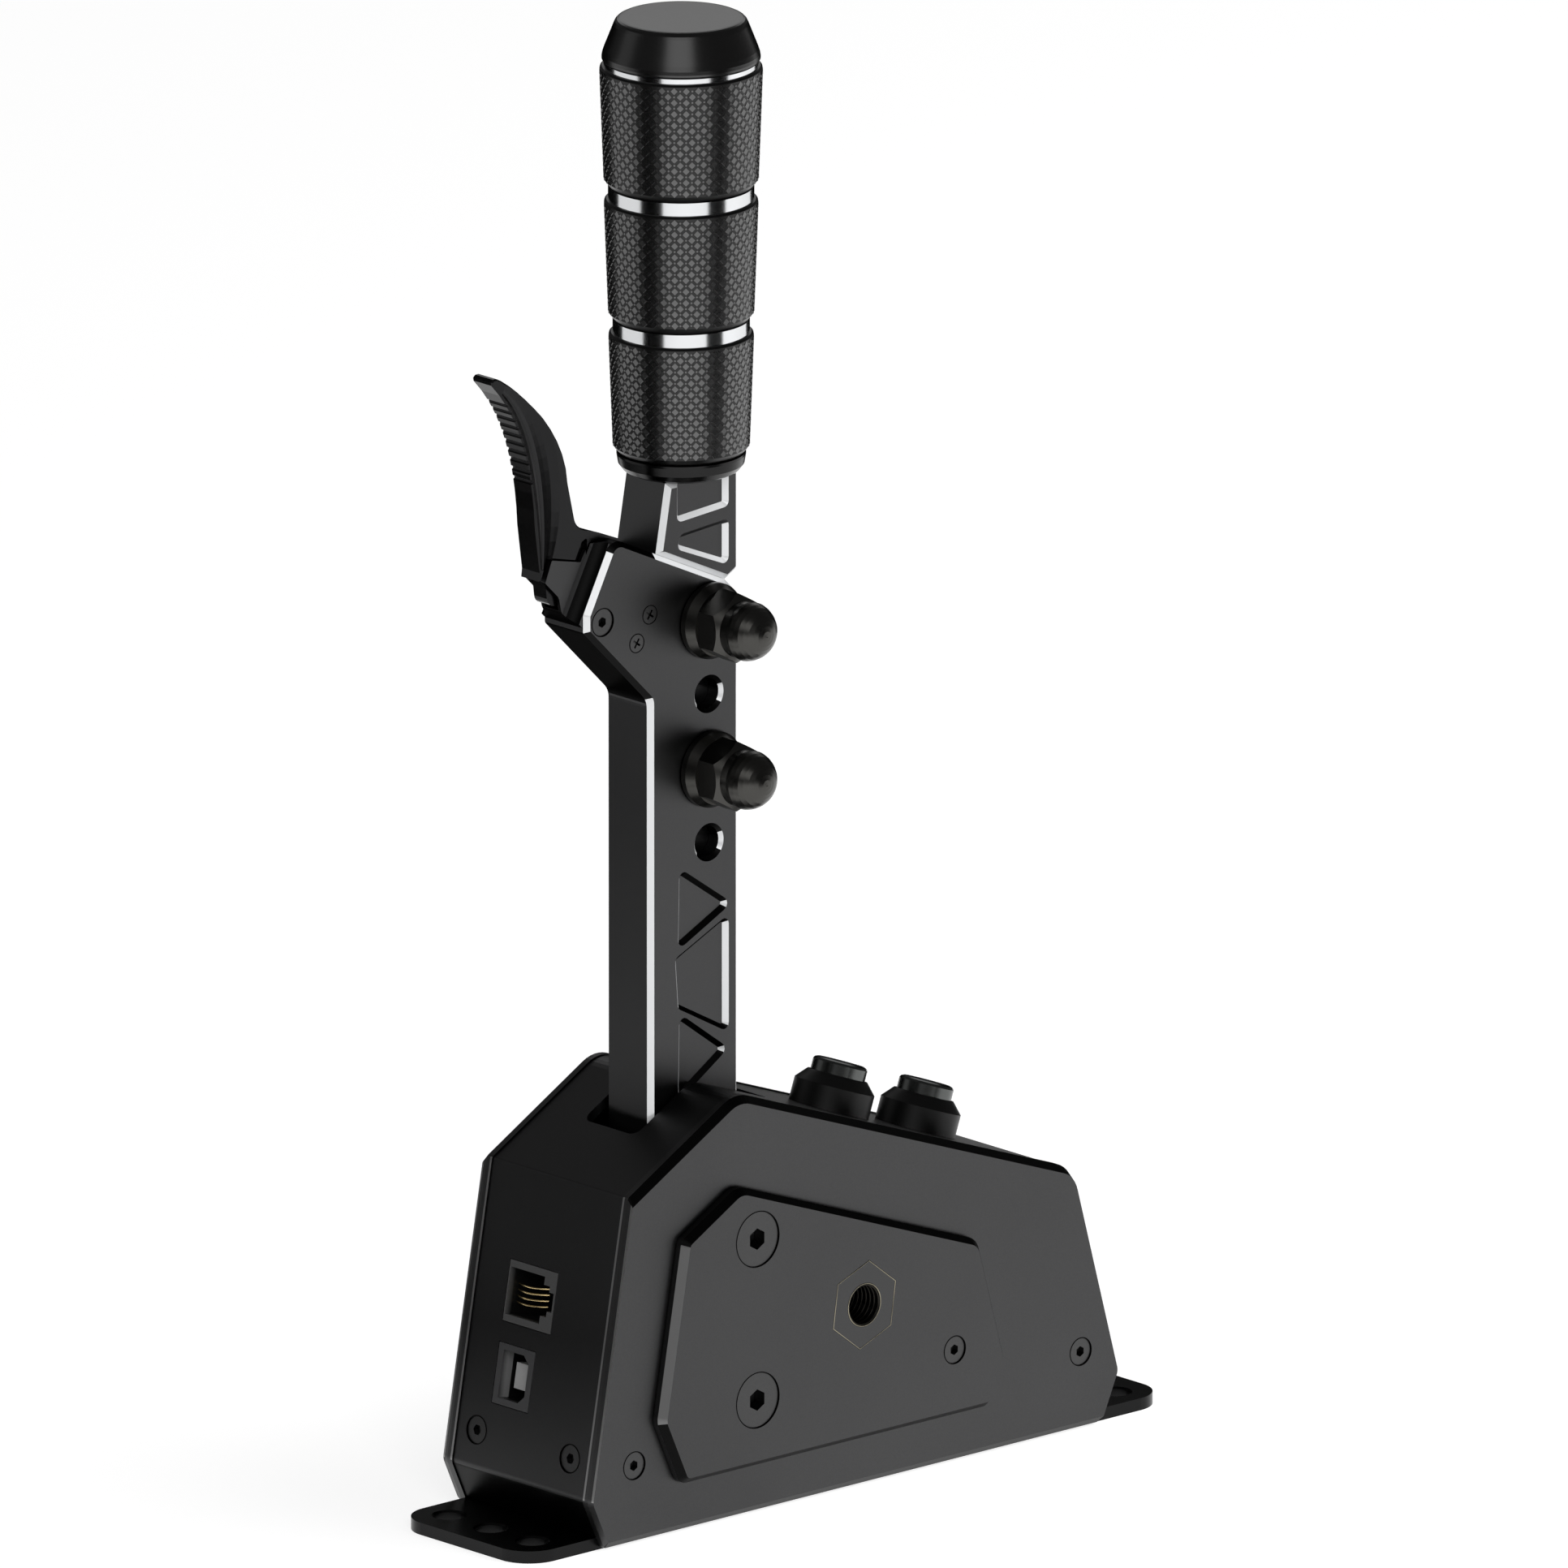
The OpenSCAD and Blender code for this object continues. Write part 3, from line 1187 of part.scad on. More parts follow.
// Push buttons: bezel and barrel through the cover, held by a nut, with a sprung cap
module button_bezels() {
    r = bezel_r;
    color("#2a2a2a") for (i = [0, 1]) on_deck(button_x + i * button_run) turned([
        [0, -barrel_len], [barrel_r - 0.8, -barrel_len], [barrel_r, -barrel_len + 0.8], [barrel_r, 0],
        [r, 0], [r, bezel_h - 2.4], [button_r + 0.8, bezel_h - 0.3], [button_r + 0.5, bezel_h],
        [button_r + run_gap, bezel_h - 0.5], [button_r + run_gap, -bezel_floor], [0, -bezel_floor]
    ], 64);
}
module button_nuts() {
    color("#8d9094") for (i = [0, 1]) on_deck(button_x + i * button_run) difference() {
        translate([0, 0, -cover_t - nut_h]) cylinder(r = nut_af / 2 / cos(30), h = nut_h, $fn = 6);
        translate([0, 0, -cover_t - nut_h - 1]) rod(barrel_r + screw_gap, nut_h + 2, 48);
    }
}
module button_cap(i) {
    top = bezel_h + button_proud;
    color("#333833") on_deck(button_x + i * button_run) turned([
        [0, -2], [button_r, -2], [button_r, top - 0.7], [button_r - 0.3, top - 0.25], [button_r - 0.9, top],
        [button_r - 1.6, top - 0.2], [0, top - 0.5]
    ], 64);
}
module button_rear() {
    button_cap(0);
}
module button_front() {
    button_cap(1);
}
module button_spring(i) {
    color("#b9bcc0") on_deck(button_x + i * button_run) translate([0, 0, -bezel_floor])
        coil(3.6, 0.35, bezel_floor - 2, 4);
}
module button_spring_rear() {
    button_spring(0);
}
module button_spring_front() {
    button_spring(1);
}

base_plate();
side_plate_near();
side_plate_far();
side_panel();
cover();
rear_block();
front_block();
centring_block();
hex_inserts();
cross_rod();
pivot_axle();
axle_spacers();
stop_pin();
stop_bumper();
pivot_screws();
side_screws();
end_screws();
base_screws();
io_board();
board_standoffs();
data_socket();
data_contacts();
usb_socket();
usb_tongue();
sensor_board();
control_board();
board_spacers();
board_screws();
button_bezels();
button_nuts();
centring_springs();
lever_bar();
lever_bearings();
sensor_magnet();
stem();
clamp_bolts();
clamp_washers();
cap_nuts();
grip_core();
grip_collar();
grip_sleeve_lower();
grip_sleeve_middle();
grip_sleeve_upper();
grip_rings();
grip_cap();
trigger_pin();
trigger_switch();
switch_screws();
trigger();
trigger_spring();
button_rear();
button_front();
button_spring_rear();
button_spring_front();
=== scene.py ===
import math

import bmesh
import bpy
from mathutils import Matrix, Vector


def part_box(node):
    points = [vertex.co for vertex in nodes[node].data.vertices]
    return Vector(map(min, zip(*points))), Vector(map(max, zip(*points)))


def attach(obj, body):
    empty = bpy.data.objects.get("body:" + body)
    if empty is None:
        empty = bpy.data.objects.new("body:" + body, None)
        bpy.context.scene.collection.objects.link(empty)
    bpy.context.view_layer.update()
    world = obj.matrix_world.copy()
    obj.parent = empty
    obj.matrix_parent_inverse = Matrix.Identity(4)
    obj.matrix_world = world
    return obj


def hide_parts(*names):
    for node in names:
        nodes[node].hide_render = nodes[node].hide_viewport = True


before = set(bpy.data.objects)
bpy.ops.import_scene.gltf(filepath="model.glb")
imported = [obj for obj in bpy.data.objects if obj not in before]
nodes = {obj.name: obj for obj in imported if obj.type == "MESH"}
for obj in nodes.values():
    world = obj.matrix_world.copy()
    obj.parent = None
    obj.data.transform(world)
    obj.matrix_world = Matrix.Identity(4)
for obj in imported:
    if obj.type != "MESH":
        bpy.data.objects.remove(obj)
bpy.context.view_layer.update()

MM = 0.001                        # one millimetre, in metres
PER_METRE = 1000.0                # millimetres in a metre
EVERYWHERE = -1000.0              # a limit, in mm, that every point lies beyond

REAR_LEAN = math.radians(10.2)    # the rear face leans forward by this much
REAR_OFFSET = 74.27               # from the origin to the rear face, square to it, in mm

# Parts of a face's normal, past which the face counts as looking one way. They pick out the faces
# that get painted shade or painted highlight.
CUT_UP, CUT_DOWN = 0.4, -0.3      # Z, for the cut edges of the lever and the stem
BEVEL_LEAST, BEVEL_MOST = 0.3, 0.97    # Y, between which a face is a bevel
BEVEL_STEEP, BEVEL_BACK = 0.2, -0.3    # Z of a bevel up or down, X of one that looks back
REAR_EDGE = -0.85                 # X, for the rear edge of a plate
TO_NEAR_SIDE = -0.7               # Y, for a wall that looks to the near side
UNDERSIDE = -0.2                  # Z, for what looks down


# Small helpers for node trees.

def add(tree, kind, values=None, **settings):
    """A node of one kind, its settings, and its inputs by name or place: a value or another
    node's output."""
    made = tree.nodes.new(kind)
    for key, value in settings.items():
        setattr(made, key, value)
    for key, value in (values or {}).items():
        socket = made.inputs[key]
        if isinstance(value, bpy.types.NodeSocket):
            tree.links.new(value, socket)
        else:
            socket.default_value = value
    return made


def calc(tree, operation, *values):
    kind = "ShaderNodeMath"
    return add(tree, kind, dict(enumerate(values)), operation=operation).outputs[0]


def above(tree, value, limit):
    return calc(tree, "GREATER_THAN", value, limit)


def below(tree, value, limit):
    return calc(tree, "LESS_THAN", value, limit)


def both(tree, mask, other):
    return calc(tree, "MULTIPLY", mask, other)


def in_mm(tree, metres):
    return calc(tree, "MULTIPLY", metres, PER_METRE)


def clamp_range(tree, value, low, high, to_low=0.0, to_high=1.0):
    return add(tree, "ShaderNodeMapRange", {
        "Value": value, "From Min": low, "From Max": high, "To Min": to_low, "To Max": to_high,
    }).outputs[0]


def place_xyz(tree):
    """Object coordinates, apart as X, Y and Z, in metres."""
    where = add(tree, "ShaderNodeTexCoord").outputs["Object"]
    return add(tree, "ShaderNodeSeparateXYZ", {0: where}).outputs


def normal_xyz(tree):
    """The way a face looks, apart as X, Y and Z."""
    normal = add(tree, "ShaderNodeNewGeometry").outputs["True Normal"]
    return add(tree, "ShaderNodeSeparateXYZ", {0: normal}).outputs


def shader_group(name, inputs, outputs):
    """An empty shader node group with named inputs and outputs, all of them numbers but those
    whose value is None, which are vectors."""
    group = bpy.data.node_groups.new(name, "ShaderNodeTree")
    for label, value in inputs:
        kind = "NodeSocketVector" if value is None else "NodeSocketFloat"
        socket = group.interface.new_socket(label, in_out="INPUT", socket_type=kind)
        if value is not None:
            socket.default_value = value
    for label in outputs:
        group.interface.new_socket(label, in_out="OUTPUT", socket_type="NodeSocketFloat")
    given = group.nodes.new("NodeGroupInput").outputs
    return group, given, group.nodes.new("NodeGroupOutput").inputs


# Effects that several finishes share.

def make_grain():
    """Fine blasted grain: a tone that wavers round 1 and a height for the bump."""
    group, given, out = shader_group("blasted_grain", [
        ("Grain size", 0.3), ("Contrast", 0.2), ("Cloud size", 40.0), ("Cloud contrast", 0.12),
    ], ["Tone", "Height"])
    where = add(group, "ShaderNodeTexCoord").outputs["Object"]
    fine = add(group, "ShaderNodeTexNoise", {
        "Vector": where, "Scale": calc(group, "DIVIDE", PER_METRE, given["Grain size"]),
        "Detail": 2.0, "Roughness": 0.6,
    }).outputs["Fac"]
    cloud = add(group, "ShaderNodeTexNoise", {
        "Vector": where, "Scale": calc(group, "DIVIDE", PER_METRE, given["Cloud size"]),
        "Detail": 3.0,
    }).outputs["Fac"]
    fine_tone = calc(group, "MULTIPLY", calc(group, "SUBTRACT", fine, 0.5), given["Contrast"])
    cloud_tone = calc(group, "MULTIPLY", calc(group, "SUBTRACT", cloud, 0.5),
                      given["Cloud contrast"])
    tone = calc(group, "ADD", calc(group, "ADD", fine_tone, cloud_tone), 1.0)
    group.links.new(tone, out["Tone"])
    group.links.new(fine, out["Height"])
    return group


def make_turning():
    """Tool marks of a lathe, round the Z of the place that is given."""
    group, given, out = shader_group("turning_marks", [("Place", None), ("Pitch", 0.12)],
                                     ["Height"])
    along = add(group, "ShaderNodeSeparateXYZ", {0: given["Place"]}).outputs["Z"]
    turns = calc(group, "DIVIDE", in_mm(group, along), given["Pitch"])
    wander = add(group, "ShaderNodeTexNoise", {"W": turns, "Scale": 0.9, "Detail": 2.0},
                 noise_dimensions="1D").outputs["Fac"]
    group.links.new(wander, out["Height"])
    return group


def make_bare_edges():
    """Mask of the faces that are cut bright through the black skin of a bar. They slope towards
    its near or far side. Those that look up stay black, but for a region, and so do those that
    look down above a height; that black on cut faces is painted shade."""
    group, given, out = shader_group("bright_cut_edges", [
        ("Half width", 6.9), ("Depth", 1.1), ("Steepest", 0.9), ("Flattest", 0.4),
        ("Upward from X", EVERYWHERE), ("Upward from Z", EVERYWHERE),
        ("Downward below Z", EVERYWHERE),
    ], ["Mask"])
    place = place_xyz(group)
    normal = normal_xyz(group)
    across = in_mm(group, calc(group, "ABSOLUTE", place["Y"]))
    slope = calc(group, "ABSOLUTE", normal["Y"])
    skin = calc(group, "SUBTRACT", given["Half width"], given["Depth"])
    outer = above(group, across, skin)
    sloping = both(group, below(group, slope, given["Steepest"]),
                   above(group, slope, given["Flattest"]))
    height = in_mm(group, place["Z"])
    region = both(group, above(group, in_mm(group, place["X"]), given["Upward from X"]),
                  above(group, height, given["Upward from Z"]))
    # Painted shade: cut faces that look up, outside the region, or down, above the height, keep the
    # black.
    upward = both(group, above(group, normal["Z"], CUT_UP),
                  calc(group, "SUBTRACT", 1.0, region))
    downward = both(group, below(group, normal["Z"], CUT_DOWN),
                    above(group, height, given["Downward below Z"]))
    kept = calc(group, "SUBTRACT", 1.0, calc(group, "MAXIMUM", upward, downward))
    group.links.new(both(group, both(group, outer, sloping), kept), out["Mask"])
    return group


def make_plate_painted_light():
    """Masks of painted light and shade on a side plate or panel: painted shade on bevels that look
    up or down, painted highlight on bevels that look back, and two thin painted highlight lines
    down its rear edge, at the seam and at the corner."""
    group, given, out = shader_group("plate_painted_light", [
        ("Seam", 20.0), ("Corner", 23.0), ("Line", 0.55),
    ], ["Painted shade bevel", "Painted highlight bevel", "Lines"])
    place = place_xyz(group)
    normal = normal_xyz(group)
    slope = calc(group, "ABSOLUTE", normal["Y"])
    sloping = both(group, below(group, slope, BEVEL_MOST), above(group, slope, BEVEL_LEAST))
    steep = above(group, calc(group, "ABSOLUTE", normal["Z"]), BEVEL_STEEP)
    group.links.new(both(group, sloping, steep), out["Painted shade bevel"])
    level = both(group, sloping, calc(group, "SUBTRACT", 1.0, steep))
    group.links.new(both(group, level, below(group, normal["X"], BEVEL_BACK)),
                    out["Painted highlight bevel"])
    across = in_mm(group, calc(group, "ABSOLUTE", place["Y"]))
    seam = below(group, across, calc(group, "ADD", given["Seam"], given["Line"]))
    corner = above(group, across, calc(group, "SUBTRACT", given["Corner"], given["Line"]))
    back = both(group, below(group, normal["X"], REAR_EDGE), below(group, slope, BEVEL_LEAST))
    upright = both(group, back, above(group, normal["Z"], 0.0))
    group.links.new(both(group, calc(group, "MAXIMUM", seam, corner), upright), out["Lines"])
    return group


def make_socket_depth():
    """How deep a point lies behind the leaning rear face, from 0 near it to 1 farther in, and
    the same for the wall that looks to the near side, where that one is kept apart. The finishes
    lay painted shade by the first and painted light on that wall by the second."""
    group, given, out = shader_group("socket_depth", [
        ("From", 0.3), ("To", 1.6), ("Wall kept", 0.0), ("Mouth", 3.0),
    ], ["Depth", "Wall"])
    place = place_xyz(group)
    along = calc(group, "MULTIPLY", place["X"], PER_METRE * math.cos(REAR_LEAN))
    up = calc(group, "MULTIPLY", place["Z"], PER_METRE * math.sin(REAR_LEAN))
    depth = calc(group, "ADD", REAR_OFFSET, calc(group, "SUBTRACT", along, up))
    near_wall = both(group, below(group, normal_xyz(group)["Y"], TO_NEAR_SIDE),
                     below(group, depth, given["Mouth"]))
    wall = both(group, near_wall, given["Wall kept"])
    inner = clamp_range(group, depth, given["From"], given["To"])
    group.links.new(both(group, inner, calc(group, "SUBTRACT", 1.0, wall)), out["Depth"])
    group.links.new(both(group, inner, wall), out["Wall"])
    return group


grain_group = make_grain()
turning_group = make_turning()
bare_edges_group = make_bare_edges()
plate_painted_light_group = make_plate_painted_light()
socket_depth_group = make_socket_depth()


# Finishes.

FACTOR, FIRST_COLOUR, SECOND_COLOUR, MIXED_COLOUR = 0, 6, 7, 2    # sockets of a colour Mix node
TONE_LOW, TONE_HIGH = 0.8, 1.2          # the tone of the grain between its darkest and lightest
DULLER, SHINIER = 1.08, 0.92            # what the grain does to the roughness at those two
# Painted shade in tight gaps: where ambient occlusion finds little open sky, the colour turns near
# black.
SEEN_SKY_LOW, SEEN_SKY_HIGH = 0.35, 0.75    # a gap is black below the one, gone above the other
GAP_SHADE_TONE = 0.001
CUT_COLOUR, CUT_METALLIC, CUT_ROUGHNESS = (0.86, 0.87, 0.88), 0.35, 0.24
GRAIN_UNDER_TURNING = 0.3               # how much of the grain's height stays on a turned piece


def grey(tone, blue=0.0):
    """A grey, or one that leans to blue by a little."""
    return (tone, tone, tone + blue)


def blended(tree, mask, colour, other):
    """A colour with another one laid over it where the mask is 1."""
    return add(tree, "ShaderNodeMix", {
        FACTOR: mask, FIRST_COLOUR: colour, SECOND_COLOUR: (*other, 1),
    }, data_type="RGBA").outputs[MIXED_COLOUR]


def finish(name, colour, metallic, roughness, grain, contrast, bump, turned=None, bare=None,
           edges=None, socket_shade=None, wall=None, shade_below=None, gaps=0.0, glancing=1.0):
    """One Principled finish. grain and bump are in mm. turned is a point on the axis and the
    axis, for lathe marks. bare holds the inputs of the bright cut edges, some of them kept black
    as painted shade. edges are the tones of painted shade and painted highlight on a plate's
    bevels and lines. socket_shade is the tone of painted shade deep in a socket, and wall that of
    the painted light on its wall that looks to the near side. shade_below is the tone of painted
    shade on what looks down. gaps is how far, in mm, painted shade reaches into tight gaps.
    glancing is the share of the shine at a glancing angle."""
    material = bpy.data.materials.new(name)
    material.use_nodes = True
    tree = material.node_tree
    shader = tree.nodes["Principled BSDF"]
    shader.inputs["Specular Tint"].default_value = (*grey(glancing), 1)
    texture = add(tree, "ShaderNodeGroup", node_tree=grain_group)
    texture.inputs["Grain size"].default_value = grain
    texture.inputs["Contrast"].default_value = contrast
    tone = texture.outputs["Tone"]
    height = texture.outputs["Height"]
    base = add(tree, "ShaderNodeMix", {
        FACTOR: tone, FIRST_COLOUR: (*grey(0.0), 1), SECOND_COLOUR: (*colour, 1),
    }, data_type="RGBA", clamp_factor=False).outputs[MIXED_COLOUR]
    rough = clamp_range(tree, tone, TONE_LOW, TONE_HIGH, roughness * DULLER, roughness * SHINIER)
    # Painted shade on bevels that look up or down, painted highlight on bevels that look back and
    # in thin lines down a plate's rear edge.
    if edges:
        masks = add(tree, "ShaderNodeGroup", node_tree=plate_painted_light_group).outputs
        for label, tint in edges.items():
            base = blended(tree, masks[label], base, grey(tint))
    # Painted shade deep in a socket, and painted light on its wall that looks to the near side.
    if socket_shade:
        behind = add(tree, "ShaderNodeGroup", node_tree=socket_depth_group)
        behind.inputs["Wall kept"].default_value = 1.0 if wall else 0.0
        base = blended(tree, behind.outputs["Depth"], base, grey(socket_shade))
        if wall:
            base = blended(tree, behind.outputs["Wall"], base, grey(wall))
    # Painted shade on what looks down.
    if shade_below:
        base = blended(tree, below(tree, normal_xyz(tree)["Z"], UNDERSIDE), base,
                       grey(shade_below))
    # Painted shade in tight gaps, from ambient occlusion.
    if gaps:
        sky = add(tree, "ShaderNodeAmbientOcclusion", {"Distance": gaps * MM},
                  samples=6).outputs["AO"]
        gap_shade_mask = clamp_range(tree, sky, SEEN_SKY_LOW, SEEN_SKY_HIGH, 1.0, 0.0)
        base = blended(tree, gap_shade_mask, base, grey(GAP_SHADE_TONE))
    # The bright cut is the bar's own finish; its black faces that look up or down are painted
    # shade.
    if bare:
        cut = add(tree, "ShaderNodeGroup", bare, node_tree=bare_edges_group).outputs["Mask"]
        base = blended(tree, cut, base, CUT_COLOUR)
        rough = clamp_range(tree, cut, 0, 1, roughness, CUT_ROUGHNESS)
        tree.links.new(clamp_range(tree, cut, 0, 1, metallic, CUT_METALLIC),
                       shader.inputs["Metallic"])
    else:
        shader.inputs["Metallic"].default_value = metallic
    if turned:
        point, axis = turned
        place = add(tree, "ShaderNodeMapping", {
            "Vector": add(tree, "ShaderNodeTexCoord").outputs["Object"],
            "Location": Vector(point),
            "Rotation": Vector(axis).to_track_quat("Z", "Y").to_euler(),
        }, vector_type="TEXTURE").outputs[0]
        marks = add(tree, "ShaderNodeGroup", node_tree=turning_group)
        tree.links.new(place, marks.inputs["Place"])
        height = calc(tree, "ADD", calc(tree, "MULTIPLY", height, GRAIN_UNDER_TURNING),
                      marks.outputs["Height"])
    bumped = add(tree, "ShaderNodeBump",
                 {"Height": height, "Strength": 1.0, "Distance": bump * MM})
    tree.links.new(base, shader.inputs["Base Color"])
    tree.links.new(rough, shader.inputs["Roughness"])
    tree.links.new(bumped.outputs[0], shader.inputs["Normal"])
    return material


cap_low, cap_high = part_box("grip_cap")
grip_x = (cap_low[0] + cap_high[0]) / 2
GRIP = ((grip_x, 0, 0), (0, 0, 1))
LEVER_HALF_WIDTH = 6.9

# Each: name, colour, metallic, roughness, grain size, its contrast, bump.
# Painted shade on bevels that look up or down and in tight gaps, painted highlight lines down the
# rear edge.
shell_black = finish("shell_black", grey(0.082, 0.001), 1.0, 0.42, 0.22, 0.25, 0.004,
                     edges={"Painted shade bevel": 0.01, "Lines": 0.36}, gaps=0.8)
# Painted shade on bevels that look up or down and in tight gaps, painted highlight on bevels that
# look back.
panel_black = finish("panel_black", grey(0.082, 0.001), 1.0, 0.42, 0.22, 0.25, 0.004,
                     edges={"Painted shade bevel": 0.008, "Painted highlight bevel": 0.19}, gaps=0.8)
# Painted shade on what looks down and in tight gaps.
cover_black = finish("cover_black", grey(0.064, 0.001), 1.0, 0.4, 0.22, 0.2, 0.003,
                     shade_below=0.012, gaps=0.8)
plate_black = finish("plate_black", grey(0.02, 0.0002), 1.0, 0.3, 0.25, 0.2, 0.004)
# Painted shade on bevels that look up or down, on what looks down, in tight gaps, and on cut faces
# that look up or down.
lever_black = finish("lever_black", grey(0.081, 0.001), 1.0, 0.4, 0.2, 0.2, 0.004,
                     edges={"Painted shade bevel": 0.012}, shade_below=0.016, gaps=0.6, glancing=0.3,
                     bare={"Half width": LEVER_HALF_WIDTH, "Upward from X": -41.5,
                           "Upward from Z": 180.0})
# Painted shade on cut faces that look down above 204 mm.
stem_black = finish("stem_black", grey(0.076, 0.001), 1.0, 0.4, 0.2, 0.2, 0.004, glancing=0.4,
                    bare={"Half width": LEVER_HALF_WIDTH, "Downward below Z": 204.0})
trigger_black = finish("trigger_black", grey(0.022, 0.0005), 1.0, 0.24, 0.2, 0.12, 0.002)
grip_black = finish("grip_black", grey(0.078), 1.0, 0.27, 0.2, 0.1, 0.002, turned=GRIP)
collar_black = finish("collar_black", grey(0.026), 1.0, 0.24, 0.2, 0.1, 0.002, turned=GRIP)
# Lit and shaded copies of the grip's black: the studs lighter as painted highlight, the sleeves
# between them darker as painted shade in the grooves.
knurl_lit_black = finish("knurl_lit_black", grey(0.14), 1.0, 0.26, 0.15, 0.3, 0.002)
groove_shaded_black = finish("groove_shaded_black", grey(0.042), 1.0, 0.32, 0.2, 0.3, 0.006)
ring_bright = finish("ring_bright", (0.69, 0.7, 0.71), 1.0, 0.15, 0.4, 0.04, 0.003, turned=GRIP)
# Painted shade in tight gaps.
screw_black = finish("screw_black", grey(0.084, 0.0005), 1.0, 0.38, 0.3, 0.2, 0.005, gaps=0.5)
insert_black = finish("insert_black", grey(0.078, 0.0005), 1.0, 0.38, 0.3, 0.2, 0.005)
# Painted shade: the black of the rings in the gaps round screw heads.
gap_shade_black = finish("gap_shade_black", grey(0.004), 1.0, 0.5, 0.3, 0.2, 0.003)
# Painted shade: thread crests dark as the shade in an insert's bore.
thread_shaded_black = finish("thread_shaded_black", (0.03, 0.028, 0.024), 1.0, 0.35, 0.3, 0.2, 0.003)
rim_brass = finish("rim_brass", (0.42, 0.38, 0.28), 1.0, 0.3, 0.3, 0.2, 0.003)
nut_black = finish("nut_black", (0.074, 0.0725, 0.068), 1.0, 0.3, 0.3, 0.15, 0.003)
steel_bright = finish("steel_bright", (0.62, 0.63, 0.65), 1.0, 0.26, 0.4, 0.1, 0.006)
spring_steel = finish("spring_steel", (0.5, 0.51, 0.53), 1.0, 0.3, 0.4, 0.1, 0.004)
milled = finish("milled", (0.5, 0.51, 0.52), 1.0, 0.34, 0.5, 0.1, 0.01)
# Painted shade deep in the socket.
socket_grey = finish("socket_grey", grey(0.066), 0.0, 0.5, 0.3, 0.15, 0.01, socket_shade=0.003)
# Painted shade deep in the socket, painted light on its wall that looks to the near side.
shield_grey = finish("shield_grey", grey(0.07, 0.002), 0.3, 0.38, 0.3, 0.1, 0.005,
                     socket_shade=0.004, wall=0.22)
tongue_pale = finish("tongue_pale", grey(0.38), 0.0, 0.42, 0.3, 0.08, 0.006)
gold = finish("gold", (0.95, 0.74, 0.38), 1.0, 0.2, 0.3, 0.05, 0.002)
brass_turned = finish("brass_turned", (0.72, 0.55, 0.28), 1.0, 0.3, 0.3, 0.1, 0.004)
board_green = finish("board_green", (0.02, 0.11, 0.05), 0.0, 0.4, 0.6, 0.2, 0.01)
rubber = finish("rubber", grey(0.015), 0.0, 0.75, 0.3, 0.3, 0.02)
bezel_black = finish("bezel_black", grey(0.042), 1.0, 0.42, 0.2, 0.15, 0.004)
cap_black = finish("cap_black", (0.115, 0.12, 0.117), 1.0, 0.24, 0.3, 0.1, 0.003)
switch_black = finish("switch_black", grey(0.02, 0.001), 0.0, 0.5, 0.3, 0.15, 0.008)

for material, labels in (
        (shell_black, "side_plate_near side_plate_far"),
        (panel_black, "side_panel"),
        (cover_black, "cover"),
        (plate_black, "base_plate"),
        (milled, "rear_block front_block centring_block"),
        (insert_black, "hex_inserts"),
        (steel_bright, "cross_rod pivot_axle axle_spacers stop_pin board_screws button_nuts "
                       "lever_bearings sensor_magnet grip_core"),
        (spring_steel, "centring_springs trigger_spring button_spring_rear "
                       "button_spring_front"),
        (rubber, "stop_bumper"),
        (screw_black, "pivot_screws side_screws end_screws base_screws trigger_pin "
                      "switch_screws"),
        (board_green, "io_board sensor_board control_board"),
        (brass_turned, "board_standoffs board_spacers"),
        (socket_grey, "data_socket"),
        (gold, "data_contacts"),
        (shield_grey, "usb_socket"),
        (tongue_pale, "usb_tongue"),
        (bezel_black, "button_bezels"),
        (cap_black, "button_rear button_front"),
        (lever_black, "lever_bar"),
        (stem_black, "stem"),
        (nut_black, "clamp_bolts clamp_washers cap_nuts"),
        (collar_black, "grip_collar"),
        (groove_shaded_black, "grip_sleeve_lower grip_sleeve_middle grip_sleeve_upper"),
        (ring_bright, "grip_rings"),
        (grip_black, "grip_cap"),
        (switch_black, "trigger_switch"),
        (trigger_black, "trigger")):
    for label in labels.split():
        mesh = nodes[label].data
        mesh.materials.clear()
        mesh.materials.append(material)


# Geometry that repeats.

SOCKET_KINDS = {int: "NodeSocketInt", float: "NodeSocketFloat"}
VECTOR, MATERIAL = "NodeSocketVector", "NodeSocketMaterial"


def geometry_tree(name, inputs):
    """An empty geometry tree. An input is a label and a number, or a label and a socket kind."""
    tree = bpy.data.node_groups.new(name, "GeometryNodeTree")
    for label, value in inputs:
        kind = value if isinstance(value, str) else SOCKET_KINDS[type(value)]
        socket = tree.interface.new_socket(label, in_out="INPUT", socket_type=kind)
        if not isinstance(value, str):
            socket.default_value = value
    tree.interface.new_socket("Geometry", in_out="OUTPUT", socket_type="NodeSocketGeometry")
    given = tree.nodes.new("NodeGroupInput").outputs
    return tree, given, tree.nodes.new("NodeGroupOutput").inputs


def finished(tree, instances, given, out, smooth=False):
    """Ends a tree: its instances are made real and get their finish."""
    real = add(tree, "GeometryNodeRealizeInstances", {"Geometry": instances}).outputs[0]
    if smooth:
        real = add(tree, "GeometryNodeSetShadeSmooth", {"Geometry": real}).outputs[0]
    covered = add(tree, "GeometryNodeSetMaterial", {
        "Geometry": real, "Material": given["Finish"],
    }).outputs[0]
    tree.links.new(covered, out["Geometry"])
    return tree


def row_of(tree, given, instance):
    """Copies of one shape along a straight line."""
    line = add(tree, "GeometryNodeMeshLine", {
        "Count": given["Count"], "Start Location": given["First"], "Offset": given["Step"],
    }).outputs[0]
    return add(tree, "GeometryNodeInstanceOnPoints", {
        "Points": line, "Instance": instance,
    }).outputs[0]


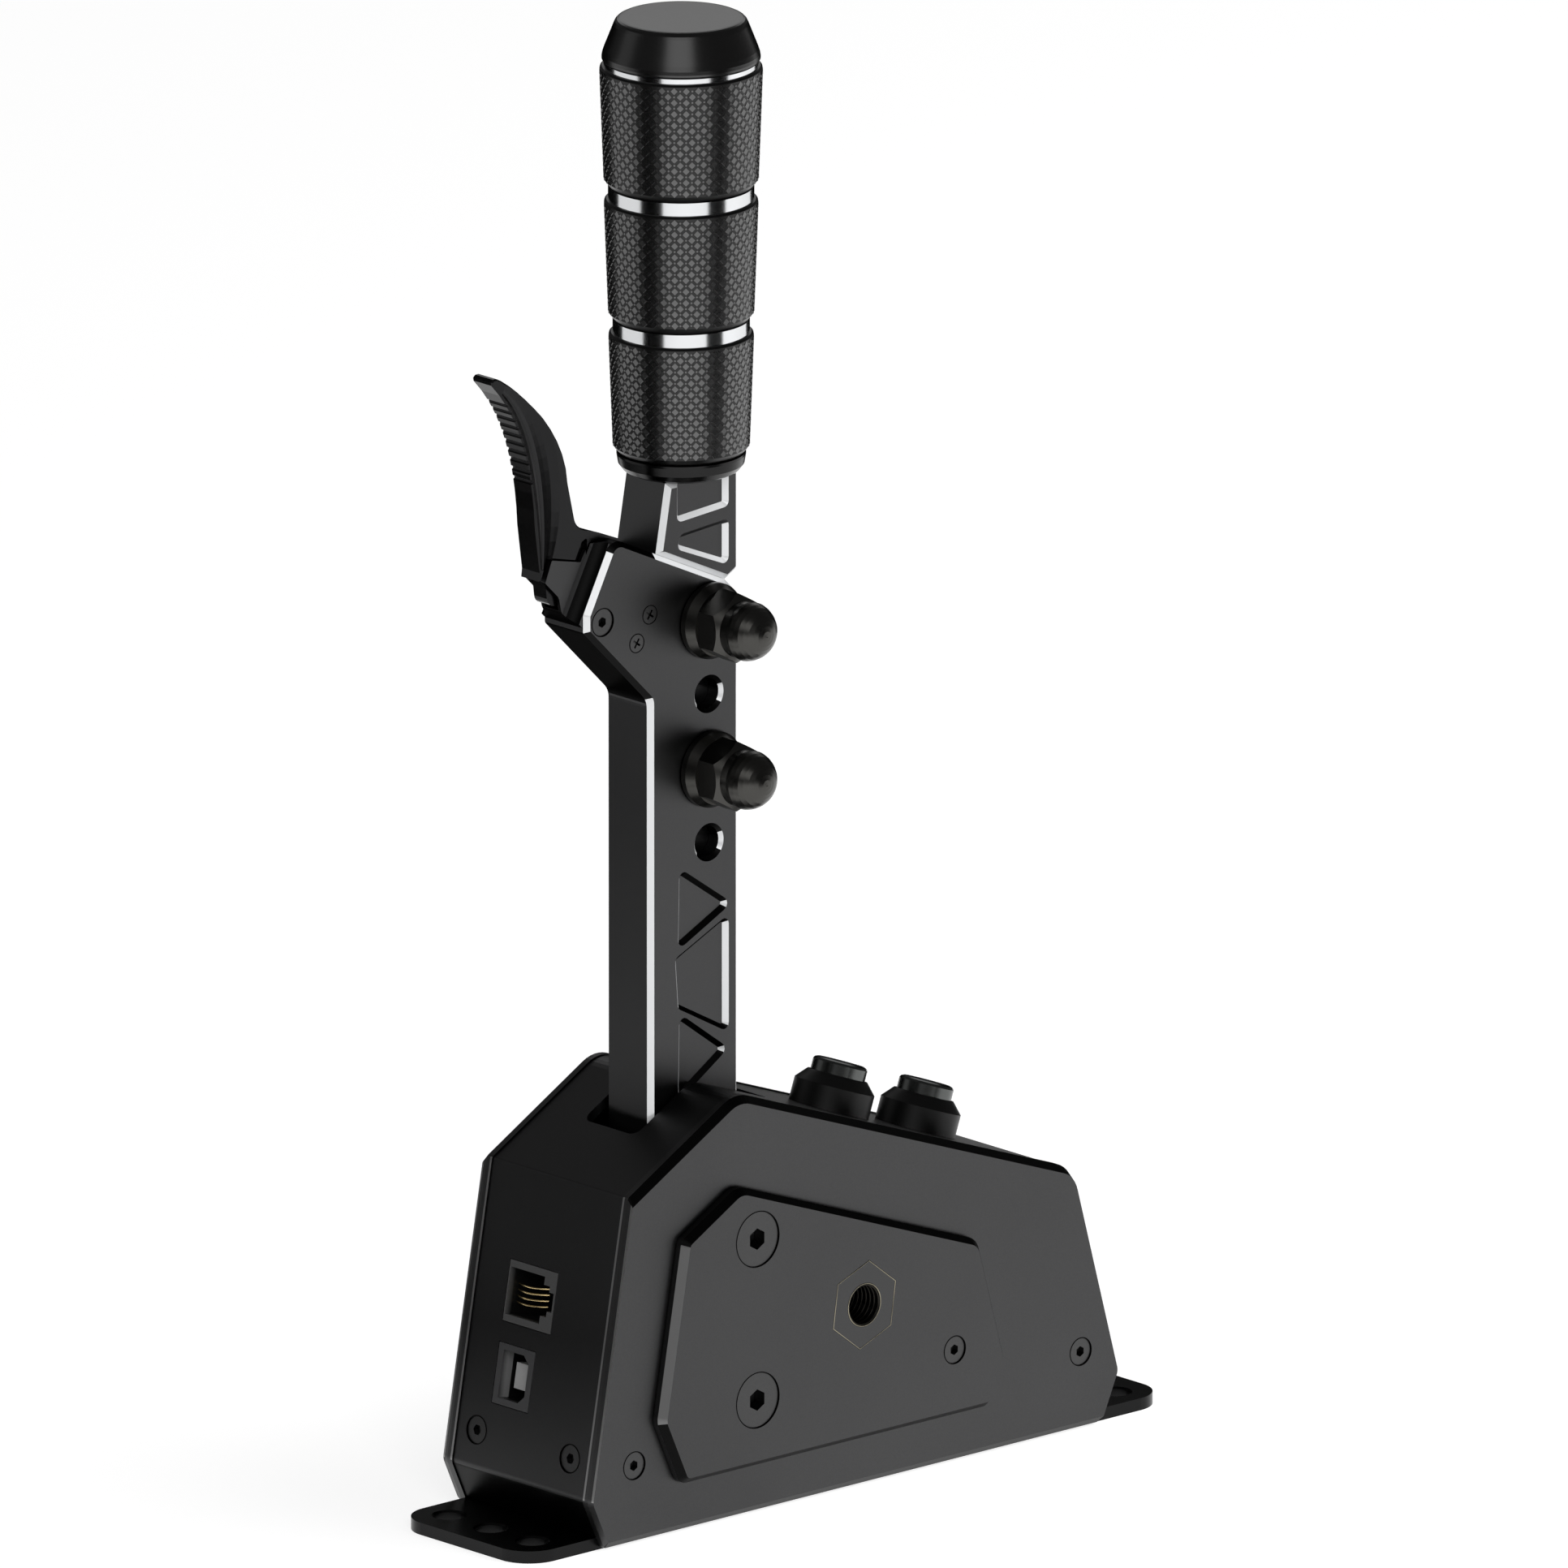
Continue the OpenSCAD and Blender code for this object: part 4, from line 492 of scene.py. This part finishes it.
def grown(name, tree, sets, body):
    """Runs a geometry tree once for each set of named inputs, and keeps it all as one plain
    mesh on a body."""
    joined = bmesh.new()
    for values in sets:
        carrier = bpy.data.objects.new(name + "_carrier",
                                       bpy.data.meshes.new(name + "_carrier"))
        bpy.context.scene.collection.objects.link(carrier)
        modifier = carrier.modifiers.new("grow", "NODES")
        modifier.node_group = tree
        for item in tree.interface.items_tree:
            if (item.item_type == "SOCKET" and item.in_out == "INPUT"
                    and item.name in values):
                modifier[item.identifier] = values[item.name]
        depsgraph = bpy.context.evaluated_depsgraph_get()
        grown_mesh = bpy.data.meshes.new_from_object(carrier.evaluated_get(depsgraph),
                                                     depsgraph=depsgraph)
        bpy.data.objects.remove(carrier)
        joined.from_mesh(grown_mesh)
    mesh = bpy.data.meshes.new(name)
    joined.to_mesh(mesh)
    joined.free()
    mesh.materials.append(sets[0]["Finish"])
    piece = bpy.data.objects.new(name, mesh)
    bpy.context.scene.collection.objects.link(piece)
    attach(piece, body)
    return piece


def knurl_tree():
    """Diamond studs in a staggered lattice round an upright tapered sleeve, a small one
    between each four."""
    tree, given, out = geometry_tree("diamond_knurl", [
        ("Columns", 84), ("Rows", 20), ("Foot", 0.0), ("Pitch", 0.0012),
        ("Foot radius", 0.014), ("Flare", 0.0), ("Axis X", 0.0), ("Stud size", 0.0009),
        ("Stud height", 0.0002), ("Stud taper", 0.86), ("Small stud", 0.3),
        ("Least height", 0.4), ("Finish", MATERIAL),
    ])

    def maths(operation, *values):
        return calc(tree, operation, *values)

    count = maths("MULTIPLY", given["Columns"], given["Rows"])
    index = add(tree, "GeometryNodeInputIndex").outputs[0]
    row = maths("FLOOR", maths("DIVIDE", maths("ADD", index, 0.5), given["Columns"]))
    column = maths("SUBTRACT", index, maths("MULTIPLY", row, given["Columns"]))
    turn = maths("MULTIPLY", maths("DIVIDE", column, given["Columns"]), 2 * math.pi)
    rise = maths("MULTIPLY", maths("ADD", row, 0.5), given["Pitch"])
    radius = maths("ADD", given["Foot radius"], maths("MULTIPLY", rise, given["Flare"]))
    spot = add(tree, "ShaderNodeCombineXYZ", {
        "X": maths("ADD", given["Axis X"], maths("MULTIPLY", radius, maths("COSINE", turn))),
        "Y": maths("MULTIPLY", radius, maths("SINE", turn)), "Z": maths("ADD", given["Foot"], rise),
    }).outputs[0]
    points = add(tree, "GeometryNodePoints", {"Count": count, "Position": spot}).outputs[0]
    odd = maths("PINGPONG", maths("ADD", row, column), 1.0)
    size = maths("ADD", 1.0, maths("MULTIPLY", odd, maths("SUBTRACT", given["Small stud"], 1.0)))
    outwards = add(tree, "ShaderNodeCombineXYZ", {
        "X": 0.0, "Z": turn,
        "Y": maths("SUBTRACT", math.pi / 2, maths("ARCTANGENT", given["Flare"])),
    }).outputs[0]
    stud = add(tree, "GeometryNodeMeshCone", {
        "Vertices": 4, "Radius Top": maths("MULTIPLY", given["Stud size"], given["Stud taper"]),
        "Radius Bottom": given["Stud size"], "Depth": given["Stud height"],
    }).outputs[0]
    low = given["Least height"]
    sizes = add(tree, "ShaderNodeCombineXYZ", {
        "X": size, "Y": size,
        "Z": maths("ADD", low, maths("MULTIPLY", size, maths("SUBTRACT", 1.0, low))),
    }).outputs[0]
    placed = add(tree, "GeometryNodeInstanceOnPoints", {
        "Points": points, "Instance": stud, "Rotation": outwards, "Scale": sizes,
    }).outputs[0]
    return finished(tree, placed, given, out)


def wire_tree():
    """Parallel spring wires, each bent like a bow between two points."""
    tree, given, out = geometry_tree("bowed_wires", [
        ("Count", 4), ("First", VECTOR), ("Step", VECTOR), ("Start", VECTOR),
        ("Belly", VECTOR), ("End", VECTOR), ("Wire radius", 0.0002), ("Finish", MATERIAL),
    ])
    bow = add(tree, "GeometryNodeCurveQuadraticBezier", {
        "Resolution": 14, "Start": given["Start"], "Middle": given["Belly"],
        "End": given["End"],
    }).outputs[0]
    section = add(tree, "GeometryNodeCurvePrimitiveCircle", {
        "Resolution": 8, "Radius": given["Wire radius"],
    }).outputs[0]
    wire = add(tree, "GeometryNodeCurveToMesh", {
        "Curve": bow, "Profile Curve": section, "Fill Caps": True,
    }).outputs[0]
    return finished(tree, row_of(tree, given, wire), given, out, smooth=True)


def ring_tree():
    """A stack of thin round or many-sided wire rings, such as thread crests, a hexagon's rim
    or the painted shade line in a screw's gap."""
    tree, given, out = geometry_tree("ring_stack", [
        ("Sides", 48), ("Ring radius", 0.004), ("Wire radius", 0.0002), ("Turn", VECTOR),
        ("Count", 1), ("First", VECTOR), ("Step", VECTOR), ("Finish", MATERIAL),
    ])
    circle = add(tree, "GeometryNodeCurvePrimitiveCircle", {
        "Resolution": given["Sides"], "Radius": given["Ring radius"],
    }).outputs[0]
    upright = add(tree, "GeometryNodeTransform", {
        "Geometry": circle, "Rotation": given["Turn"],
    }).outputs[0]
    section = add(tree, "GeometryNodeCurvePrimitiveCircle", {
        "Resolution": 6, "Radius": given["Wire radius"],
    }).outputs[0]
    ring = add(tree, "GeometryNodeCurveToMesh", {
        "Curve": upright, "Profile Curve": section,
    }).outputs[0]
    return finished(tree, row_of(tree, given, ring), given, out)


# Knurl of the grip.

KNURL_COLUMNS, KNURL_ROWS = 84, 19
GRIP_FOOT_RADIUS, GRIP_TOP_RADIUS = 0.014, 0.0167
PLAIN_FOOT, PLAIN_ENDS = 0.0016, 0.0022     # the rim left plain below, and both rims together
STUD_SIZE, STUD_HEIGHT = 0.00086, 0.00012
SMALL_STUD = 0.34                           # the size of a small stud, as a share

grip_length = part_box("grip_cap")[0][2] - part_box("grip_sleeve_lower")[0][2]
flare = (GRIP_TOP_RADIUS - GRIP_FOOT_RADIUS) / grip_length
knurl = knurl_tree()
for part in ("lower", "middle", "upper"):
    low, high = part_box("grip_sleeve_" + part)
    height = high[2] - low[2]
    foot_radius = high[1] - flare * height
    grown("grip_knurl_" + part, knurl, [{
        "Columns": KNURL_COLUMNS, "Rows": KNURL_ROWS, "Foot": low[2] + PLAIN_FOOT,
        "Pitch": (height - PLAIN_ENDS) / KNURL_ROWS,
        "Foot radius": foot_radius + flare * PLAIN_FOOT, "Flare": flare, "Axis X": grip_x,
        "Stud size": STUD_SIZE, "Stud height": STUD_HEIGHT, "Small stud": SMALL_STUD,
        "Finish": knurl_lit_black,
    }], "lever")


# Wires of the data socket.

SOCKET_X, SOCKET_Z = -66.75, 48.4    # middle of the data socket in the rear face, in mm
WIRE_COUNT, WIRE_RADIUS = 4, 0.00022
WIRE_PITCH = 1.27                    # from wire to wire, in mm
# Places on a wire, in mm: the depth behind the rear face, across it and up it.
WIRE_START, WIRE_BELLY, WIRE_END = (2.6, 10.0, -2.3), (1.0, 6.4, -2.7), (4.4, 2.6, -2.1)
STAND_X, STAND_Z = math.sin(REAR_LEAN), math.cos(REAR_LEAN)    # the way up the rear face


def in_socket(depth, across, up):
    """A point in the data socket, in mm: behind the rear face, across it, and up it from the
    socket's middle."""
    return (MM * (SOCKET_X + up * STAND_X + depth * STAND_Z), MM * across,
            MM * (SOCKET_Z + up * STAND_Z - depth * STAND_X))


wires = grown("contact_wires", wire_tree(), [{
    "Count": WIRE_COUNT, "First": (0, 0, 0),
    "Step": (WIRE_PITCH * MM * STAND_X, 0.0, WIRE_PITCH * MM * STAND_Z),
    "Start": in_socket(*WIRE_START), "Belly": in_socket(*WIRE_BELLY),
    "End": in_socket(*WIRE_END), "Wire radius": WIRE_RADIUS, "Finish": gold,
}], "housing")
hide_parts("data_contacts")


# Rims and threads of the side inserts, the threads dark as painted shade, and dark rings of painted
# shade round the screw heads.

ACROSS = (math.pi / 2, 0, 0)         # turns a flat ring to face the near and far side
RIM_WIRE = 0.00009
HEX_RIM_RADIUS, MOUTH_RIM_RADIUS = 0.0093, 0.0045
THREAD_RADIUS, THREAD_WIRE, THREAD_PITCH, THREAD_START = 0.00426, 0.0003, 0.00125, 0.0004
THREAD_TURNS = 10
ON_FACE = 0.00002                    # a point this close to a face lies in it

rings = ring_tree()
low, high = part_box("hex_inserts")
middle_x, middle_z = (low[0] + high[0]) / 2, (low[2] + high[2]) / 2
rims, threads = [], []
for face, inwards in ((low[1], 1), (high[1], -1)):
    corners = (v.co for v in nodes["hex_inserts"].data.vertices
               if abs(v.co.y - face) < ON_FACE)
    top = max(corners, key=lambda corner: corner.z)
    lean = math.atan2(top.z - middle_z, top.x - middle_x)
    rim = {"Wire radius": RIM_WIRE, "Count": 1, "Finish": rim_brass,
           "First": (middle_x, face, middle_z), "Step": (0, 0, 0)}
    rims.append({**rim, "Sides": 6, "Ring radius": HEX_RIM_RADIUS,
                 "Turn": (math.pi / 2, -lean, 0)})
    rims.append({**rim, "Sides": 48, "Ring radius": MOUTH_RIM_RADIUS, "Turn": ACROSS})
    # The crests are dark as painted shade in the bore.
    threads.append({
        "Sides": 48, "Ring radius": THREAD_RADIUS, "Wire radius": THREAD_WIRE,
        "Count": THREAD_TURNS, "Finish": thread_shaded_black, "Turn": ACROSS,
        "First": (middle_x, face + inwards * THREAD_START, middle_z),
        "Step": (0, inwards * THREAD_PITCH, 0),
    })
grown("insert_rims", rings, rims, "housing")
grown("insert_threads", rings, threads, "housing")


# The faces that carry the screws, and the radii of the heads, in mm.
PLATE_FACE, PANEL_FACE = 23.0, 26.1
SMALL_HEAD, MIDDLE_HEAD, LARGE_HEAD = 1.85, 2.85, 5.8
GAP_WIRE = 0.11
SIDE_SCREWS = (                      # x, z, head, and the face on the near side
    (-62.1, 17.1, MIDDLE_HEAD, PLATE_FACE), (62.1, 17.1, MIDDLE_HEAD, PLATE_FACE),
    (24.1, 25.6, MIDDLE_HEAD, PANEL_FACE), (-30.7, 25.6, LARGE_HEAD, PANEL_FACE),
    (-30.7, 60.0, LARGE_HEAD, PANEL_FACE),
)
END_SCREWS = (                       # x, and the turn of the leaning rear or front face
    (-72.12, (0, math.radians(-79.8), 0)), (70.45, (0, math.radians(74.5), 0)),
)
END_SCREW_Y, END_SCREW_Z = 14.25, 18.7
LEVER_SCREWS = (                     # x, z, head
    (-56.1, 192.2, MIDDLE_HEAD), (-46.7, 186.0, SMALL_HEAD), (-43.1, 191.4, SMALL_HEAD),
)


def gap(middle, radius, turn):
    """The dark line of painted shade round a sunk screw head, from its middle and its head's
    radius, in mm.
    """
    return {"Sides": 48, "Ring radius": (radius + GAP_WIRE) * MM, "Wire radius": GAP_WIRE * MM,
            "Turn": turn, "Count": 1, "First": tuple(v * MM for v in middle),
            "Step": (0, 0, 0), "Finish": gap_shade_black}


# Painted shade: a dark wire ring in the gap round each screw head.
gaps = []
for x, z, radius, near in SIDE_SCREWS:
    gaps += [gap((x, -near, z), radius, ACROSS), gap((x, PLATE_FACE, z), radius, ACROSS)]
for y in (-END_SCREW_Y, END_SCREW_Y):
    gaps += [gap((x, y, END_SCREW_Z), MIDDLE_HEAD, turn) for x, turn in END_SCREWS]
grown("screw_gap_shade", rings, gaps, "housing")
grown("head_screw_gap_shade", rings,
      [gap((x, -LEVER_HALF_WIDTH, z), radius, ACROSS) for x, z, radius in LEVER_SCREWS],
      "lever")


# Floor, light and camera.

FLOOR_REACH = 60.0
FLOOR_TONE, FLOOR_ROUGHNESS, FLOOR_GLOW = 0.4, 0.9, 0.8
FLAG_TONE = 0.003
SKY_TONE = 0.085
FLAG_STEPS = 6
FLAG_FOOT = 0.001                    # the flags stand clear of the floor by this much
LAMP_AIM = Vector((-0.02, 0, 0.13))
CAMERA_AIM = Vector((0.0003, 0, 0.1457))
CAMERA_AZIMUTH, CAMERA_ELEVATION = -42.3, 15.8    # in degrees, azimuth 0 looking along +Y
SENSOR, LONG_LENS = 36, 1600         # in mm
HALF_FRAME = 0.161                   # half the width of the frame at the object, in metres
FAR_LIMIT = 1000                     # how far the camera sees, in metres


def towards(azimuth, elevation):
    """The way to a point in the sky, from its angles in radians, azimuth 0 being +X."""
    return Vector((math.cos(azimuth) * math.cos(elevation),
                   math.sin(azimuth) * math.cos(elevation), math.sin(elevation)))


def looking_back(aim, away, distance):
    """The placing of a lamp or camera that looks at a point from some way off."""
    turn = away.to_track_quat("Z", "Y").to_matrix().to_4x4()
    return Matrix.Translation(aim + away * distance) @ turn


def floor():
    """A pale floor that stays white to the camera and in reflections, and keeps the shadow."""
    mesh = bpy.data.meshes.new("floor")
    corners = [(-FLOOR_REACH, -FLOOR_REACH, 0), (FLOOR_REACH, -FLOOR_REACH, 0),
               (FLOOR_REACH, FLOOR_REACH, 0), (-FLOOR_REACH, FLOOR_REACH, 0)]
    mesh.from_pydata(corners, [], [(0, 1, 2, 3)])
    ground = bpy.data.objects.new("floor", mesh)
    bpy.context.scene.collection.objects.link(ground)
    material = bpy.data.materials.new("floor_pale")
    material.use_nodes = True
    tree = material.node_tree
    shader = tree.nodes["Principled BSDF"]
    shader.inputs["Base Color"].default_value = (*grey(FLOOR_TONE), 1)
    shader.inputs["Roughness"].default_value = FLOOR_ROUGHNESS
    shader.inputs["Specular IOR Level"].default_value = 0.0
    shader.inputs["Emission Color"].default_value = (1, 1, 1, 1)
    path = add(tree, "ShaderNodeLightPath").outputs
    seen = calc(tree, "MAXIMUM", path["Is Camera Ray"],
                calc(tree, "MAXIMUM", path["Is Glossy Ray"], path["Is Transmission Ray"]))
    tree.links.new(calc(tree, "MULTIPLY", seen, FLOOR_GLOW), shader.inputs["Emission Strength"])
    mesh.materials.append(material)


def flag(name, start, end, distance, height):
    """A low black flag that stands round the object between two directions, in degrees, and
    shows only in reflections."""
    turns = [math.radians(start + (end - start) * i / FLAG_STEPS)
             for i in range(FLAG_STEPS + 1)]
    points = [(distance * math.cos(turn), distance * math.sin(turn), z)
              for z in (FLAG_FOOT, height) for turn in turns]
    top = FLAG_STEPS + 1             # the first point of the upper row
    mesh = bpy.data.meshes.new(name)
    mesh.from_pydata(points, [], [(i, i + 1, top + i + 1, top + i) for i in range(FLAG_STEPS)])
    card = bpy.data.objects.new(name, mesh)
    bpy.context.scene.collection.objects.link(card)
    material = bpy.data.materials.get("flag_black") or bpy.data.materials.new("flag_black")
    material.use_nodes = True
    shader = material.node_tree.nodes["Principled BSDF"]
    shader.inputs["Base Color"].default_value = (*grey(FLAG_TONE), 1)
    shader.inputs["Specular IOR Level"].default_value = 0.0
    mesh.materials.append(material)
    for kind in ("camera", "diffuse", "transmission", "volume_scatter", "shadow"):
        setattr(card, "visible_" + kind, False)


def softbox(name, azimuth, elevation, distance, width, height, power, mirrored=True):
    """A rectangular lamp that looks at the object from a direction, in degrees; one that isn't
    mirrored gives its level of light and no highlight."""
    lamp = bpy.data.lights.new(name, "AREA")
    lamp.shape = "RECTANGLE"
    lamp.size = width
    lamp.size_y = height
    lamp.energy = power
    holder = bpy.data.objects.new(name, lamp)
    away = towards(math.radians(azimuth), math.radians(elevation))
    holder.matrix_world = looking_back(LAMP_AIM, away, distance)
    holder.visible_camera = False
    holder.visible_glossy = mirrored
    bpy.context.scene.collection.objects.link(holder)


def camera():
    """Nearly parallel view, as the photograph has: a very long lens from far away."""
    lens = bpy.data.cameras.new("camera")
    lens.sensor_width = SENSOR
    lens.lens = LONG_LENS
    lens.clip_end = FAR_LIMIT
    holder = bpy.data.objects.new("camera", lens)
    distance = HALF_FRAME / (lens.sensor_width / 2 / lens.lens)
    away = towards(math.radians(CAMERA_AZIMUTH) - math.pi / 2, math.radians(CAMERA_ELEVATION))
    holder.matrix_world = looking_back(CAMERA_AIM, away, distance)
    bpy.context.scene.collection.objects.link(holder)
    bpy.context.scene.camera = holder


floor()
camera()
# Each: name, where it starts and ends, in degrees, its distance and height.
flag("left_flag", 162, 198, 0.6, 0.34)
flag("right_flag", 268, 299, 0.6, 0.34)
flag("back_flag", 368, 474, 0.6, 0.34)
flag("low_flag", 95, 189, 0.4, 0.115)
flag("foot_flag", 95, 189, 0.2, 0.025)
# Each: name, azimuth, elevation, distance, width, height, power.
softbox("right_softbox", 314, 32, 1.7, 1.5, 1.5, 26, mirrored=False)
softbox("left_softbox", 133, 20, 1.6, 0.7, 1.0, 0.6)
softbox("front_softbox", 225, 34, 1.8, 1.2, 0.9, 4)
softbox("back_softbox", 48, 27, 1.8, 1.4, 0.7, 2.2)
softbox("fill_softbox", 228, 20, 1.8, 1.2, 1.2, 15, mirrored=False)

world = bpy.data.worlds.new("studio")
world.use_nodes = True
sky = world.node_tree.nodes["Background"]
sky.inputs["Color"].default_value = (*grey(SKY_TONE), 1)
sky.inputs["Strength"].default_value = 1.0
bpy.context.scene.world = world
bpy.context.scene.view_settings.view_transform = "Standard"
